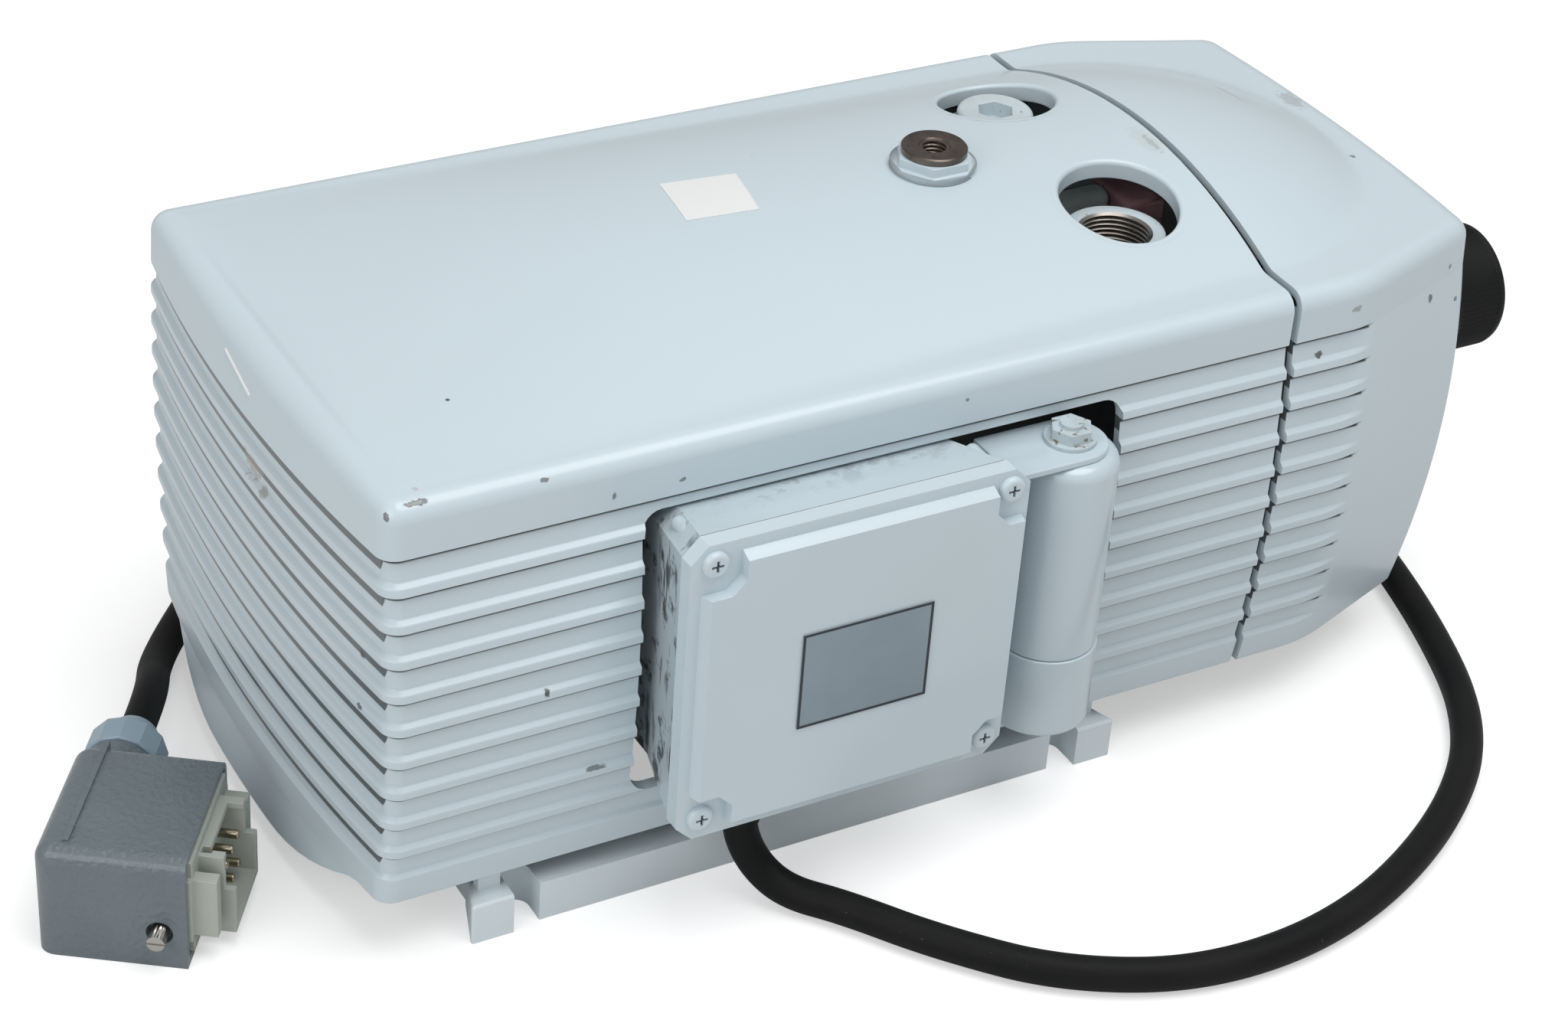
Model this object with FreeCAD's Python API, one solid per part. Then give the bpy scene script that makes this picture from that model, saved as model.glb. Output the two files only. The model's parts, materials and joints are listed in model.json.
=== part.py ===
import FreeCAD, Part
import math
import os

# Dry rotary vane vacuum pump with a single-phase capacitor motor, in millimetres.
# The origin is on the floor under the middle of the base. X runs from the fan end to the regulator
# end, Y from the terminal box to the back, Z up.

os.makedirs("parts", exist_ok=True)
V = FreeCAD.Vector

# Sound hood: plan and side profile
HOOD_LEFT_X = -157.6
SEAM_X = 177.2
SEAM_GAP = 3.2
RIM_Z = 24.8
LOUVRE_TOP_Z = 161.1
SHOULDER_Z = 180.0
TOP_HALF_WIDTH = 102.8
SIDE_BULGE = 7.9
BULGE_MID_Z = 103.6
BULGE_HALF_HEIGHT = 83.1
HOOD_CORNER_R = 7.2
LEFT_BOW = 7.7
LEFT_BOW_TOP = 1.6
COVER_WALL = 3.0
TOP_EDGE_R = 6.6
MIN_CORNER_R = 0.5

# Ribs that run round both covers
RIB_COUNT = 10
RIB_PITCH = 12.8
RIB_FIELD = 8.1
RIB_SLOPE = 1.45
RIB_STEP = 0.3
RIB_DEPTH = 1.8

# Crown on top of the hood, and the dome that ends it on the cap
CROWN_SIDE_INSET = 19.8
CROWN_HALF_WIDTH = TOP_HALF_WIDTH - CROWN_SIDE_INSET
CROWN_HEIGHT = 18.5
CROWN_LEFT_INSET = 9.8
CROWN_LEFT_HALF_WIDTH = TOP_HALF_WIDTH - CROWN_LEFT_INSET
CROWN_LEFT_HEIGHT = 4.0
CROWN_LEFT_START = 9.0
CROWN_ROOT = 1.5
CROWN_CAVITY_START = 70.0
CROWN_CAVITY_MARGIN = 7.0

# Apron under the left end of the hood
APRON_BOTTOM_Z = 9.5
APRON_BOW = 10.8
APRON_FLAT_HALF_WIDTH = 27.0
APRON_HALF_WIDTH = 81.0
APRON_DEPTH_X = 14.0

# End cap
TAPER_START = 19.3
TAPER_R = 60.3
TAPER_ANGLE = 20.0
CAP_END_X = 276.2
CAP_END_HALF = 79.0
CAP_END_BOW = 4.0
CAP_END_CURVE = 0.00117
CAP_END_MID_Z = 108.0
CAP_CORNER_R = 9.0
CAP_RIB_LENGTH = 33.0

# Opening in the hood's front for the terminal box and the capacitor
OPENING_LEFT_X = -70.3
OPENING_RIGHT_X = 109.7
OPENING_BOTTOM_Z = 46.2
OPENING_TOP_Z = 156.4
OPENING_CORNER_R = 7.0
OPENING_STEP_X = 62.0
OPENING_STEP_Z = 37.5

# Ports and lifting stud on top
PORT_X = 143.9
PORT_Y = 40.5
PORT_HOLE_R = 22.2
PORT_LIP_R = 3.0
PORT_TOP_Z = 181.8
PORT_FLANGE_R = 18.0
FLANGE_SPOT_GAP = 0.5
PORT_THREAD_R = 12.05
PORT_THREAD_LENGTH = 14.0
STUD_X = 92.2
STUD_R = 9.0
STUD_STANDOUT = 9.34
STUD_HEAD_R = 11.7
STUD_HEAD_H = 2.6
STUD_THREAD_R = 4.25
STUD_THREAD_LENGTH = 15.0
STUD_ROOT_DEPTH = 12.0
STUD_NUT_AF = 24.0
STUD_NUT_H = 4.0
STUD_FLANGE_R = 15.6
STUD_FLANGE_H = 2.0
STUD_PAD_R = 16.6
STUD_HOLE_R = 10.5
STUD_CARRIER_HALF = 14.0
STUD_CARRIER_RISE = 10.0

# Base
RAIL_HALF_LENGTH = 126.5
RAIL_SETBACK = 1.1
RAIL_FRONT_Y = TOP_HALF_WIDTH - RAIL_SETBACK
RAIL_STEP = 2.2
RAIL_WIDTH = 20.2
RAIL_HEIGHT = 15.8
RAIL_END_SLANT = 7.0
SLOT_X = 105.8
SLOT_WIDTH = 10.4
SLOT_DEPTH = 15.5
CROSS_INNER_X = 98.0
CROSS_OUTER_X = 119.0
CROSS_WALL = 4.0
UPRIGHT_X = 117.0
UPRIGHT_HALF = 4.0
UPRIGHT_H = 18.0
BUFFER_X = 108.5
BUFFER_Y = 52.0
BUFFER_R = 9.5
BUFFER_H = 18.0
FOOT_PLATE = 5.0
FOOT_HALF_WIDTH = 64.0
SADDLE_HALF_WIDTH = 32.0
SADDLE_LENGTH = 18.0

# Motor
AXIS_Z = 103.6
MOTOR_LEFT_X = -88.0
MOTOR_RIGHT_X = 54.0
MOTOR_R = 61.0
MOTOR_WALL = 5.0
MOTOR_FIN_COUNT = 9
MOTOR_FIN_H = 6.0
MOTOR_FIN_T = 2.5
STATOR_LEFT_X = -60.0
STATOR_RIGHT_X = 25.0
STATOR_BORE_R = 34.0
AIR_GAP = 0.4
WINDING_LENGTH = 15.0
WINDING_R_OUT = 50.0
WINDING_R_IN = 37.0
SHAFT_R = 8.5
BEARING_R = 20.0
BEARING_WIDTH = 8.0
SHIELD_T = 8.0
FAN_X = -119.0
FAN_WIDTH = 16.0
FAN_R = 50.0
FAN_HUB_R = 14.0
FAN_BLADES = 7
FAN_BLADE_T = 2.0
COWL_WALL = 2.0

# Vane pump
PUMP_LEFT_X = 66.0
PUMP_RIGHT_X = 163.0
PUMP_OUTER_R = 57.0
PUMP_WALL = 16.0
PUMP_CRESCENT = 5.0
PUMP_BORE_R = PUMP_OUTER_R - PUMP_WALL
PUMP_ROTOR_R = PUMP_BORE_R - PUMP_CRESCENT
PUMP_ROTOR_GAP = 0.3
PUMP_SIDE_GAP = 0.25
PUMP_COVER_T = 12.0
VANE_COUNT = 6
VANE_T = 4.0
VANE_SLOT_WEB = 5.5
VANE_DEPTH = PUMP_ROTOR_R - SHAFT_R - VANE_SLOT_WEB
VANE_CLEARANCE = 0.15
BOSS_HALF = 21.0
BOSS_TOP_Z = 163.8
CHAMBER_DEPTH = 16.0
PASSAGE_R = 6.0
PASSAGE_Y = 32.4
VALVE_SEAT_R = 9.0
VALVE_DISC_R = 10.8
VALVE_DISC_T = 2.6
VALVE_TRAVEL = 5.0
VALVE_SPRING_R = 8.0
VALVE_SPRING_WALL = 1.2

# Closing plug of the second port
PLUG_HEAD_R = 14.0
PLUG_HEAD_H = 8.1
PLUG_SOCKET_AF = 12.0
PLUG_SOCKET_DEPTH = 6.0

# Vacuum regulator and its knob
REGULATOR_Y = -46.8
REGULATOR_Z = 128.7
REGULATOR_R = 13.0
REGULATOR_BORE_R = 8.0
REGULATOR_COLLAR_R = 18.0
REGULATOR_COLLAR_T = 8.0
REGULATOR_NECK_R = 8.5
REGULATOR_NECK_OUT = 3.0
RING_NUT_R = 13.0
RING_NUT_T = 2.6
REGULATOR_SEAT_R = 4.5
REGULATOR_TRAVEL = 4.0
CONE_LENGTH = 20.0
CONE_TIP = 4.0
SPINDLE_R = 4.0
SPINDLE_CLEARANCE = 0.1
KNOB_LEFT_X = 282.6
KNOB_RIGHT_X = 306.0
KNOB_R = 23.4
KNOB_SKIRT_WALL = 4.0
KNOB_POCKET_DEPTH = 5.0
KNOB_EDGE_R = 1.5

# Intake filter inside the cap
FILTER_Y = 34.0
FILTER_Z = 112.0
FILTER_R = 30.0
FILTER_BORE_R = 14.0
FILTER_LEFT_X = 178.0
FILTER_LENGTH = 66.0
FILTER_PLATE_T = 2.0
FILTER_ROD_R = 4.0

# Terminal box
BOX_LEFT_X = -68.1
BOX_RIGHT_X = 54.2
BOX_BOTTOM_Z = 46.4
BOX_TOP_Z = 160.0
BOX_GASKET_Y = -124.5
BOX_STANDOFF = 5.0
BOX_BACK_Y = -MOTOR_R - BOX_STANDOFF
BOX_DRAFT = 5.4
BOX_NECK_Y = -99.0
BOX_WALL = 4.0
BOX_CORNER = 6.0
BOX_PAD_HALF_X = 44.0
BOX_PAD_HALF_Z = 30.0
LID_GASKET_T = 1.0
LID_FLANGE_T = 6.2
LID_OVERHANG = 0.6
LID_PANEL_T = 4.3
LID_PANEL_INSET = 3.6
LID_PANEL_RIGHT_INSET = 1.6
LID_PANEL_DRAFT = 1.8
LID_POCKET = 17.5
LID_POCKET_RIGHT = 13.5
LID_POCKET_CUT = 5.0
LID_SCREW_X0 = -60.3
LID_SCREW_X1 = 47.4
LID_SCREW_Z0 = 54.3
LID_SCREW_Z1 = 153.7
LID_SCREW_R = 2.5
LID_SCREW_HEAD_R = 4.6
LID_SCREW_HEAD_H = 2.4
LID_SCREW_LENGTH = 16.0
LID_SCREW_DOME_R = 1.6
CROSS_SLOT_REACH = 2.2
CROSS_SLOT_HALF = 0.5
SCREW_CLEARANCE = 0.2
PLATE_X0 = -28.9
PLATE_X1 = 19.3
PLATE_Z0 = 83.3
PLATE_Z1 = 120.3
PLATE_T = 0.5
TERMINAL_BLOCK_HALF_X = 30.0
TERMINAL_BLOCK_HALF_Z = 14.0
TERMINAL_BLOCK_T = 10.0
TERMINAL_POSTS = 6
POST_R = 2.5
POST_OUT = 10.0
POST_PITCH_X = 20.0
POST_PITCH_Z = 14.0

# Cable gland and blanking plug under the terminal box
GLAND_X = -33.3
BLANK_X = 10.7
GLAND_Y = -112.5
GLAND_THREAD_R = 8.0
GLAND_NUT_R = 12.6
GLAND_NUT_CHAMFER = 3.0
GLAND_THREAD_IN = 8.0
GLAND_NUT_BOTTOM_Z = 31.0
GLAND_COLLAR_H = 4.0
BLANK_BOTTOM_Z = 33.0
BLANK_R = 12.0

# Run capacitor
CAPACITOR_X = 84.0
CAPACITOR_Y = -110.5
CAPACITOR_R = 17.5
CAPACITOR_BOTTOM_Z = 40.5
CAPACITOR_SPLIT_Z = 72.0
CAPACITOR_TOP_Z = 148.6
CAPACITOR_SHOULDER = 5.0
CAPACITOR_CUP_STEP = 0.7
BRACKET_T = 2.4
BRACKET_HALF_WIDTH = 13.0
BRACKET_TAB_H = 26.0
CAPACITOR_STUD_R = 4.0
CAPACITOR_NUT_AF = 13.0
CAPACITOR_NUT_H = 4.0
CAPACITOR_WASHER_T = 1.4
CAPACITOR_WASHER_R = 9.0

# Supply cord with its heavy-duty connector lying on the floor
CORD_R = 6.0
PLUG_X = -214.7
PLUG_Y = -74.7
PLUG_YAW = -34.0
PLUG_DEPTH = 50.0
PLUG_WIDTH = 59.0
PLUG_HEIGHT = 42.8
PLUG_WALL = 3.0
PLUG_EDGE = 6.0
PLUG_RIDGE = 1.0
INSERT_MARGIN = 5.5
INSERT_OUT = 13.0
PIN_COUNT = 6
PIN_R = 1.6
PIN_LENGTH = 8.0
PEG_R = 4.5
PEG_OUT = 5.5
PEG_DEPTH = 9.0
PEG_Z = 14.0
PEG_ROOT = 4.0
PEG_SLOT_DEPTH = 1.0
PEG_SLOT_HALF = 0.6
PLUG_GLAND_R = 11.5
PLUG_GLAND_LENGTH = 20.0
PLUG_BOSS_LENGTH = 13.0
PLUG_BOSS_R = 12.5
PLUG_GLAND_SETBACK = 10.0

# Fits
SEAT_GAP = 0.2
RUN_GAP = 0.1
HOOD_PAD_T = 2.0
CAP_WALL_GAP = 0.9

INNER_INSET = RIB_DEPTH + COVER_WALL
CAP_LEFT_X = SEAM_X + SEAM_GAP
CROWN_R = (CROWN_HALF_WIDTH ** 2 + CROWN_HEIGHT ** 2) / (2 * CROWN_HEIGHT)
PUMP_BORE_DROP = PUMP_BORE_R - PUMP_ROTOR_R - PUMP_ROTOR_GAP
PUMP_BORE_Z = AXIS_Z - PUMP_BORE_DROP


def box(x0, x1, y0, y1, z0, z1):
    return Part.makeBox(x1 - x0, y1 - y0, z1 - z0, V(x0, y0, z0))


def cylinder_x(x0, x1, radius, y=0.0, z=AXIS_Z):
    return Part.makeCylinder(radius, x1 - x0, V(x0, y, z), V(1, 0, 0))


def cylinder_y(y0, y1, radius, x, z):
    return Part.makeCylinder(radius, y1 - y0, V(x, y0, z), V(0, 1, 0))


def cylinder_z(z0, z1, radius, x=0.0, y=0.0):
    return Part.makeCylinder(radius, z1 - z0, V(x, y, z0), V(0, 0, 1))


def ring_x(x0, x1, outer, inner, y=0.0, z=AXIS_Z):
    return cylinder_x(x0, x1, outer, y, z).cut(cylinder_x(x0 - 1, x1 + 1, inner, y, z))


def ring_z(z0, z1, outer, inner, x=0.0, y=0.0):
    return cylinder_z(z0, z1, outer, x, y).cut(cylinder_z(z0 - 1, z1 + 1, inner, x, y))


def polygon_face(points):
    return Part.Face(Part.makePolygon(points + [points[0]]))


def prism_x(yz_points, x0, x1):
    return polygon_face([V(x0, y, z) for y, z in yz_points]).extrude(V(x1 - x0, 0, 0))


def prism_y(xz_points, y0, y1):
    return polygon_face([V(x, y0, z) for x, z in xz_points]).extrude(V(0, y1 - y0, 0))


def prism_z(xy_points, z0, z1):
    return polygon_face([V(x, y, z0) for x, y in xy_points]).extrude(V(0, 0, z1 - z0))


def hexagon_z(z0, z1, across_flats, x, y):
    radius = across_flats / math.sqrt(3)
    corners = [math.radians(60 * i) for i in range(6)]
    return prism_z([(x + radius * math.cos(a), y + radius * math.sin(a)) for a in corners], z0, z1)


def revolve_x(xr_points, y, z):
    profile = polygon_face([V(x, y + r, z) for x, r in xr_points])
    return profile.revolve(V(0, y, z), V(1, 0, 0), 360)


def revolve_z(rz_points, x, y):
    profile = polygon_face([V(x + r, y, z) for r, z in rz_points])
    return profile.revolve(V(x, y, 0), V(0, 0, 1), 360)


def save(name, shape):
    solids = shape.Solids
    bad = [s for s in solids if not s.isValid() or s.Volume <= 0]
    print(name, len(solids), "solids", round(shape.Volume / 1000, 1), "cm3", "INVALID" if bad else "")
    shape.exportStep("parts/" + name + ".step")


def half_width(z):
    """Half the width of the covers over the rib faces, widest at half height."""
    top = ((LOUVRE_TOP_Z - BULGE_MID_Z) / BULGE_HALF_HEIGHT) ** 2
    here = ((min(z, LOUVRE_TOP_Z) - BULGE_MID_Z) / BULGE_HALF_HEIGHT) ** 2
    return TOP_HALF_WIDTH + SIDE_BULGE * (top - here)


def left_bow(z):
    """How far the left end bows out: full over the ribs, almost straight at the top edge."""
    share = max(0.0, min(1.0, (z - LOUVRE_TOP_Z) / (SHOULDER_Z - LOUVRE_TOP_Z)))
    return LEFT_BOW + share * (LEFT_BOW_TOP - LEFT_BOW)


def line(a, b):
    return Part.LineSegment(a, b).toShape()


def arc(a, middle, b):
    return Part.Arc(a, middle, b).toShape()


def hood_outline(z, inset, bow=None, right_x=SEAM_X):
    """Plan of the hood at height z: open square right end, bowed left end, round corners."""
    bow = left_bow(z) if bow is None else bow
    full = half_width(z)
    radius = (full ** 2 + bow ** 2) / (2 * bow)
    centre_x = HOOD_LEFT_X - bow + radius
    radius = radius - inset
    half = full - inset
    corner = max(HOOD_CORNER_R - inset, MIN_CORNER_R)
    corner_y = half - corner
    corner_x = centre_x - math.sqrt((radius - corner) ** 2 - corner_y ** 2)
    angle = math.atan2(corner_y, centre_x - corner_x)
    meet = V(centre_x - radius * math.cos(angle), -radius * math.sin(angle), z)
    turn = (angle + math.pi / 2) / 2
    bend = V(corner_x - corner * math.cos(turn), -corner_y - corner * math.sin(turn), z)

    def back(point):
        return V(point.x, -point.y, z)

    front_right = V(right_x, -half, z)
    front_left = V(corner_x, -half, z)
    nose = V(centre_x - radius, 0, z)
    return Part.Wire([
        line(front_right, front_left),
        arc(front_left, bend, meet),
        arc(meet, nose, back(meet)),
        arc(back(meet), back(bend), back(front_left)),
        line(back(front_left), back(front_right)),
        line(back(front_right), front_right),
    ])


def cap_outline(z, inset, left_x=CAP_LEFT_X):
    """Plan of the end cap at height z: sides that taper in, round corners, slightly bowed end."""
    turn = math.radians(TAPER_ANGLE)
    half = half_width(z)
    bend_x = CAP_LEFT_X + TAPER_START
    bend_y = half - TAPER_R
    bend_r = TAPER_R - inset
    taper = V(bend_x + bend_r * math.sin(turn), -bend_y - bend_r * math.cos(turn), z)
    bend_mid = V(bend_x + bend_r * math.sin(turn / 2), -bend_y - bend_r * math.cos(turn / 2), z)
    end_x = CAP_END_X - CAP_END_CURVE * (z - CAP_END_MID_Z) ** 2
    end_r = (CAP_END_HALF ** 2 + CAP_END_BOW ** 2) / (2 * CAP_END_BOW)
    end_centre = end_x + CAP_END_BOW - end_r
    end_r = end_r - inset
    corner = max(CAP_CORNER_R - inset, MIN_CORNER_R)
    along = V(math.cos(turn), math.sin(turn), 0)
    inward = V(-math.sin(turn), math.cos(turn), 0)
    start = taper + inward * corner
    to_start = start - V(end_centre, 0, z)
    b = to_start.dot(along)
    c = to_start.dot(to_start) - (end_r - corner) ** 2
    centre = start + along * (-b + math.sqrt(b * b - c))
    tangent = centre - inward * corner
    outward = (centre - V(end_centre, 0, z)).normalize()
    meet = centre + outward * corner
    corner_mid = centre + ((outward - inward).normalize()) * corner
    tip = V(end_centre + end_r, 0, z)

    def back(point):
        return V(point.x, -point.y, z)

    front = V(left_x, -(half - inset), z)
    bend = V(bend_x, -(half - inset), z)
    return Part.Wire([
        line(front, bend),
        arc(bend, bend_mid, taper),
        line(taper, tangent),
        arc(tangent, corner_mid, meet),
        arc(meet, tip, back(meet)),
        arc(back(meet), back(corner_mid), back(tangent)),
        line(back(tangent), back(taper)),
        arc(back(taper), back(bend_mid), back(bend)),
        line(back(bend), back(front)),
        line(back(front), front),
    ])


def top_edge_levels():
    """Heights and insets of the rounded edge below the shoulder."""
    steps = 4
    levels = []
    for i in range(steps + 1):
        angle = math.pi / 2 * i / steps
        rise = TOP_EDGE_R * math.sin(angle)
        levels.append((SHOULDER_Z - TOP_EDGE_R + rise, TOP_EDGE_R * (1 - math.cos(angle))))
    return levels


def rib_lines():
    return [LOUVRE_TOP_Z - RIB_PITCH * k for k in range(RIB_COUNT)]


def hood_levels():
    levels = [(RIM_Z, 0.0)]
    for z in reversed(rib_lines()):
        levels.append((z - RIB_FIELD - RIB_SLOPE, 0.0))
        levels.append((z - RIB_FIELD, RIB_DEPTH))
        levels.append((z - RIB_STEP, RIB_DEPTH))
        levels.append((z, 0.0))
    return levels + top_edge_levels()


def smooth_levels(extra, bottom_z):
    """Levels of a plain skin that lies the given distance inside the rib faces."""
    top_z = SHOULDER_Z - extra
    plain_top = SHOULDER_Z - TOP_EDGE_R
    count = 5
    levels = [(bottom_z, extra)]
    for i in range(count):
        levels.append((RIM_Z + 10 + (LOUVRE_TOP_Z - RIM_Z - 10) * i / (count - 1), extra))
    levels.append((plain_top - 1, extra))
    levels.append((top_z, extra + TOP_EDGE_R / 2))
    return levels


def crown_profile(x, half, height, base_z):
    """Crown section across the pump: flat foot, short sides, arch on top."""
    front = V(x, -half, SHOULDER_Z)
    back = V(x, half, SHOULDER_Z)
    front_low = V(x, -half, base_z)
    back_low = V(x, half, base_z)
    return Part.Wire([
        line(front_low, front),
        arc(front, V(x, 0, SHOULDER_Z + height), back),
        line(back, back_low),
        line(back_low, front_low),
    ])


def crown_height(x):
    start = HOOD_LEFT_X + CROWN_LEFT_START
    share = (x - start) / (SEAM_X - start)
    return CROWN_LEFT_HEIGHT + share * (CROWN_HEIGHT - CROWN_LEFT_HEIGHT)


def crown_half(x):
    start = HOOD_LEFT_X + CROWN_LEFT_START
    share = (x - start) / (SEAM_X - start)
    return CROWN_LEFT_HALF_WIDTH + share * (CROWN_HALF_WIDTH - CROWN_LEFT_HALF_WIDTH)


def hood_crown():
    start = HOOD_LEFT_X + CROWN_LEFT_START
    base = SHOULDER_Z - CROWN_ROOT
    edge_x = HOOD_LEFT_X + CROWN_LEFT_START / 2
    profiles = [
        crown_profile(edge_x, CROWN_LEFT_HALF_WIDTH - CROWN_LEFT_START / 2, CROWN_LEFT_HEIGHT / 4, base),
        crown_profile(start, CROWN_LEFT_HALF_WIDTH, CROWN_LEFT_HEIGHT, base),
        crown_profile(SEAM_X, CROWN_HALF_WIDTH, CROWN_HEIGHT, base),
    ]
    return Part.makeLoft(profiles, True, True)


def crown_cavity(x0, x1, depth, margin=CROWN_CAVITY_MARGIN):
    base = SHOULDER_Z - TOP_EDGE_R - 3
    profiles = []
    for x in (x0, x1):
        near = min(x, SEAM_X)
        half = crown_half(near) - margin
        arch = crown_height(near) - depth
        profiles.append(crown_profile(x, half, arch, base))
    return Part.makeLoft(profiles, True, True)


def apron():
    """Wall that hangs from the left end of the hood, lowest in the middle."""
    outer = Part.makeLoft([hood_outline(APRON_BOTTOM_Z, 0.0, APRON_BOW, 0.0),
                           hood_outline(RIM_Z, 0.0, LEFT_BOW, 0.0)], True, True)
    inner = Part.makeLoft([hood_outline(APRON_BOTTOM_Z, COVER_WALL, APRON_BOW, 1.0),
                           hood_outline(RIM_Z, COVER_WALL, LEFT_BOW, 1.0)], True, True)
    left = HOOD_LEFT_X - 2 * APRON_BOW
    middle_z = APRON_BOTTOM_Z + (RIM_Z - APRON_BOTTOM_Z) * 0.22
    middle_y = (APRON_FLAT_HALF_WIDTH + APRON_HALF_WIDTH) / 2
    edges = [
        line(V(left, -APRON_HALF_WIDTH, RIM_Z + 1), V(left, -APRON_HALF_WIDTH, RIM_Z)),
        arc(V(left, -APRON_HALF_WIDTH, RIM_Z), V(left, -middle_y, middle_z),
            V(left, -APRON_FLAT_HALF_WIDTH, APRON_BOTTOM_Z)),
        line(V(left, -APRON_FLAT_HALF_WIDTH, APRON_BOTTOM_Z),
             V(left, APRON_FLAT_HALF_WIDTH, APRON_BOTTOM_Z)),
        arc(V(left, APRON_FLAT_HALF_WIDTH, APRON_BOTTOM_Z), V(left, middle_y, middle_z),
            V(left, APRON_HALF_WIDTH, RIM_Z)),
        line(V(left, APRON_HALF_WIDTH, RIM_Z), V(left, APRON_HALF_WIDTH, RIM_Z + 1)),
        line(V(left, APRON_HALF_WIDTH, RIM_Z + 1), V(left, -APRON_HALF_WIDTH, RIM_Z + 1)),
    ]
    window = Part.Face(Part.Wire(edges)).extrude(V(HOOD_LEFT_X + APRON_DEPTH_X - left, 0, 0))
    return outer.cut(inner).common(window)


def opening_cutters():
    """Window for the terminal box, deeper beside the capacitor, and room for the two glands."""
    outer_y = -TOP_HALF_WIDTH - 4 * SIDE_BULGE
    inner_y = -TOP_HALF_WIDTH + 2 * SIDE_BULGE
    window = box(OPENING_LEFT_X, OPENING_RIGHT_X, outer_y, inner_y, OPENING_BOTTOM_Z, OPENING_TOP_Z)
    window = window.makeFillet(OPENING_CORNER_R, [e for e in window.Edges if e.BoundBox.YLength > 1])
    step = box(OPENING_STEP_X, OPENING_RIGHT_X, outer_y, inner_y, OPENING_STEP_Z, 2 * OPENING_BOTTOM_Z)
    glands = [cylinder_z(RIM_Z - 1, OPENING_BOTTOM_Z + 2, GLAND_NUT_R + 1, x, GLAND_Y)
              for x in (GLAND_X, BLANK_X)]
    return [window, step] + glands


def stud_pad_z():
    return SHOULDER_Z + crown_height(STUD_X + STUD_PAD_R) + SEAT_GAP


STUD_TOP_Z = stud_pad_z() + STUD_STANDOUT


def main_hood():
    outer = Part.makeLoft([hood_outline(z, inset) for z, inset in hood_levels()], True, True)
    lips = []
    for side in (-1, 1):
        foot = crown_height(PORT_X) + SHOULDER_Z - 14
        lips.append(ring_z(foot, SHOULDER_Z + 4, PORT_HOLE_R + PORT_LIP_R, PORT_HOLE_R, PORT_X, side * PORT_Y))
    pad = cylinder_z(SHOULDER_Z, stud_pad_z(), STUD_PAD_R, STUD_X, 0)
    cavity = Part.makeLoft([hood_outline(z, inset, right_x=SEAM_X + 1)
                            for z, inset in smooth_levels(INNER_INSET, RIM_Z - 1)], True, True)
    crown_room = crown_cavity(HOOD_LEFT_X + CROWN_CAVITY_START, SEAM_X + 1, COVER_WALL)
    shell = outer.fuse([hood_crown(), pad]).cut([cavity, crown_room])
    shell = shell.fuse(lips + [apron()])
    cutters = opening_cutters() + [cylinder_z(SHOULDER_Z - 12, STUD_TOP_Z, STUD_HOLE_R, STUD_X, 0)]
    for side in (-1, 1):
        cutters.append(cylinder_z(SHOULDER_Z - 20, STUD_TOP_Z, PORT_HOLE_R, PORT_X, side * PORT_Y))
    return shell.cut(cutters)


def cap_grooves():
    """Rib fields cut along both sides of the cap; they run out where the sides taper in."""
    grooves = []
    clear = 6.0
    for z in rib_lines():
        low = z - RIB_FIELD
        foot = low - RIB_SLOPE
        section = [
            (half_width(z) + clear, z),
            (half_width(z) - RIB_DEPTH, z - RIB_STEP),
            (half_width(low) - RIB_DEPTH, low),
            (half_width(foot), foot),
            (half_width(foot) + clear, foot - RIB_STEP),
        ]
        for side in (-1, 1):
            yz = [(side * y, height) for y, height in section]
            grooves.append(prism_x(yz, CAP_LEFT_X - 1, CAP_LEFT_X + CAP_RIB_LENGTH))
    return grooves


def dome(radius_cut, bottom_z):
    """Part of a sphere that carries the crown's arch on and ends it on the cap."""
    centre = V(SEAM_X, 0, SHOULDER_Z + CROWN_HEIGHT - CROWN_R)
    ball = Part.makeSphere(CROWN_R - radius_cut, centre)
    room = box(CAP_LEFT_X - (1 if radius_cut else 0), SEAM_X + CROWN_R, -CROWN_R, CROWN_R, bottom_z,
               SHOULDER_Z + CROWN_R)
    return ball.common(room)


def cap_levels():
    levels = [(RIM_Z, 0.0)]
    for z in rib_lines()[::-3]:
        levels.append((z, 0.0))
    return levels + top_edge_levels()


def end_cap():
    outer = Part.makeLoft([cap_outline(z, inset) for z, inset in cap_levels()], True, True)
    cavity = Part.makeLoft([cap_outline(z, inset, CAP_LEFT_X - 1)
                            for z, inset in smooth_levels(INNER_INSET, RIM_Z - 1)], True, True)
    shell = outer.fuse(dome(0.0, SHOULDER_Z - CROWN_ROOT))
    shell = shell.cut([cavity, dome(COVER_WALL, SHOULDER_Z - TOP_EDGE_R)] + cap_grooves())
    hole = cylinder_x(CAP_END_X - 15, CAP_END_X + 15, REGULATOR_NECK_R + SEAT_GAP, REGULATOR_Y, REGULATOR_Z)
    return shell.cut(hole)


def seam_band():
    """Sealing strip inside the joint between the hood and the cap."""
    outer_inset = INNER_INSET + 0.3
    inner_inset = outer_inset + 2.0
    left = SEAM_X - 8
    right = CAP_LEFT_X + 3
    skins = []
    for inset, depth, margin in ((outer_inset, COVER_WALL + 1.3, CROWN_CAVITY_MARGIN + 1),
                                 (inner_inset, COVER_WALL + 3.3, CROWN_CAVITY_MARGIN + 3)):
        walls = Part.makeLoft([hood_outline(z, i, right_x=right + 1)
                               for z, i in smooth_levels(inset, RIM_Z + 1)], True, True)
        skins.append(walls.fuse(crown_cavity(left - 1, right + 1, depth, margin)))
    band = skins[0].cut(skins[1])
    return band.common(box(left, right, -200, 200, RIM_Z + 2, SHOULDER_Z + 60))


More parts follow.
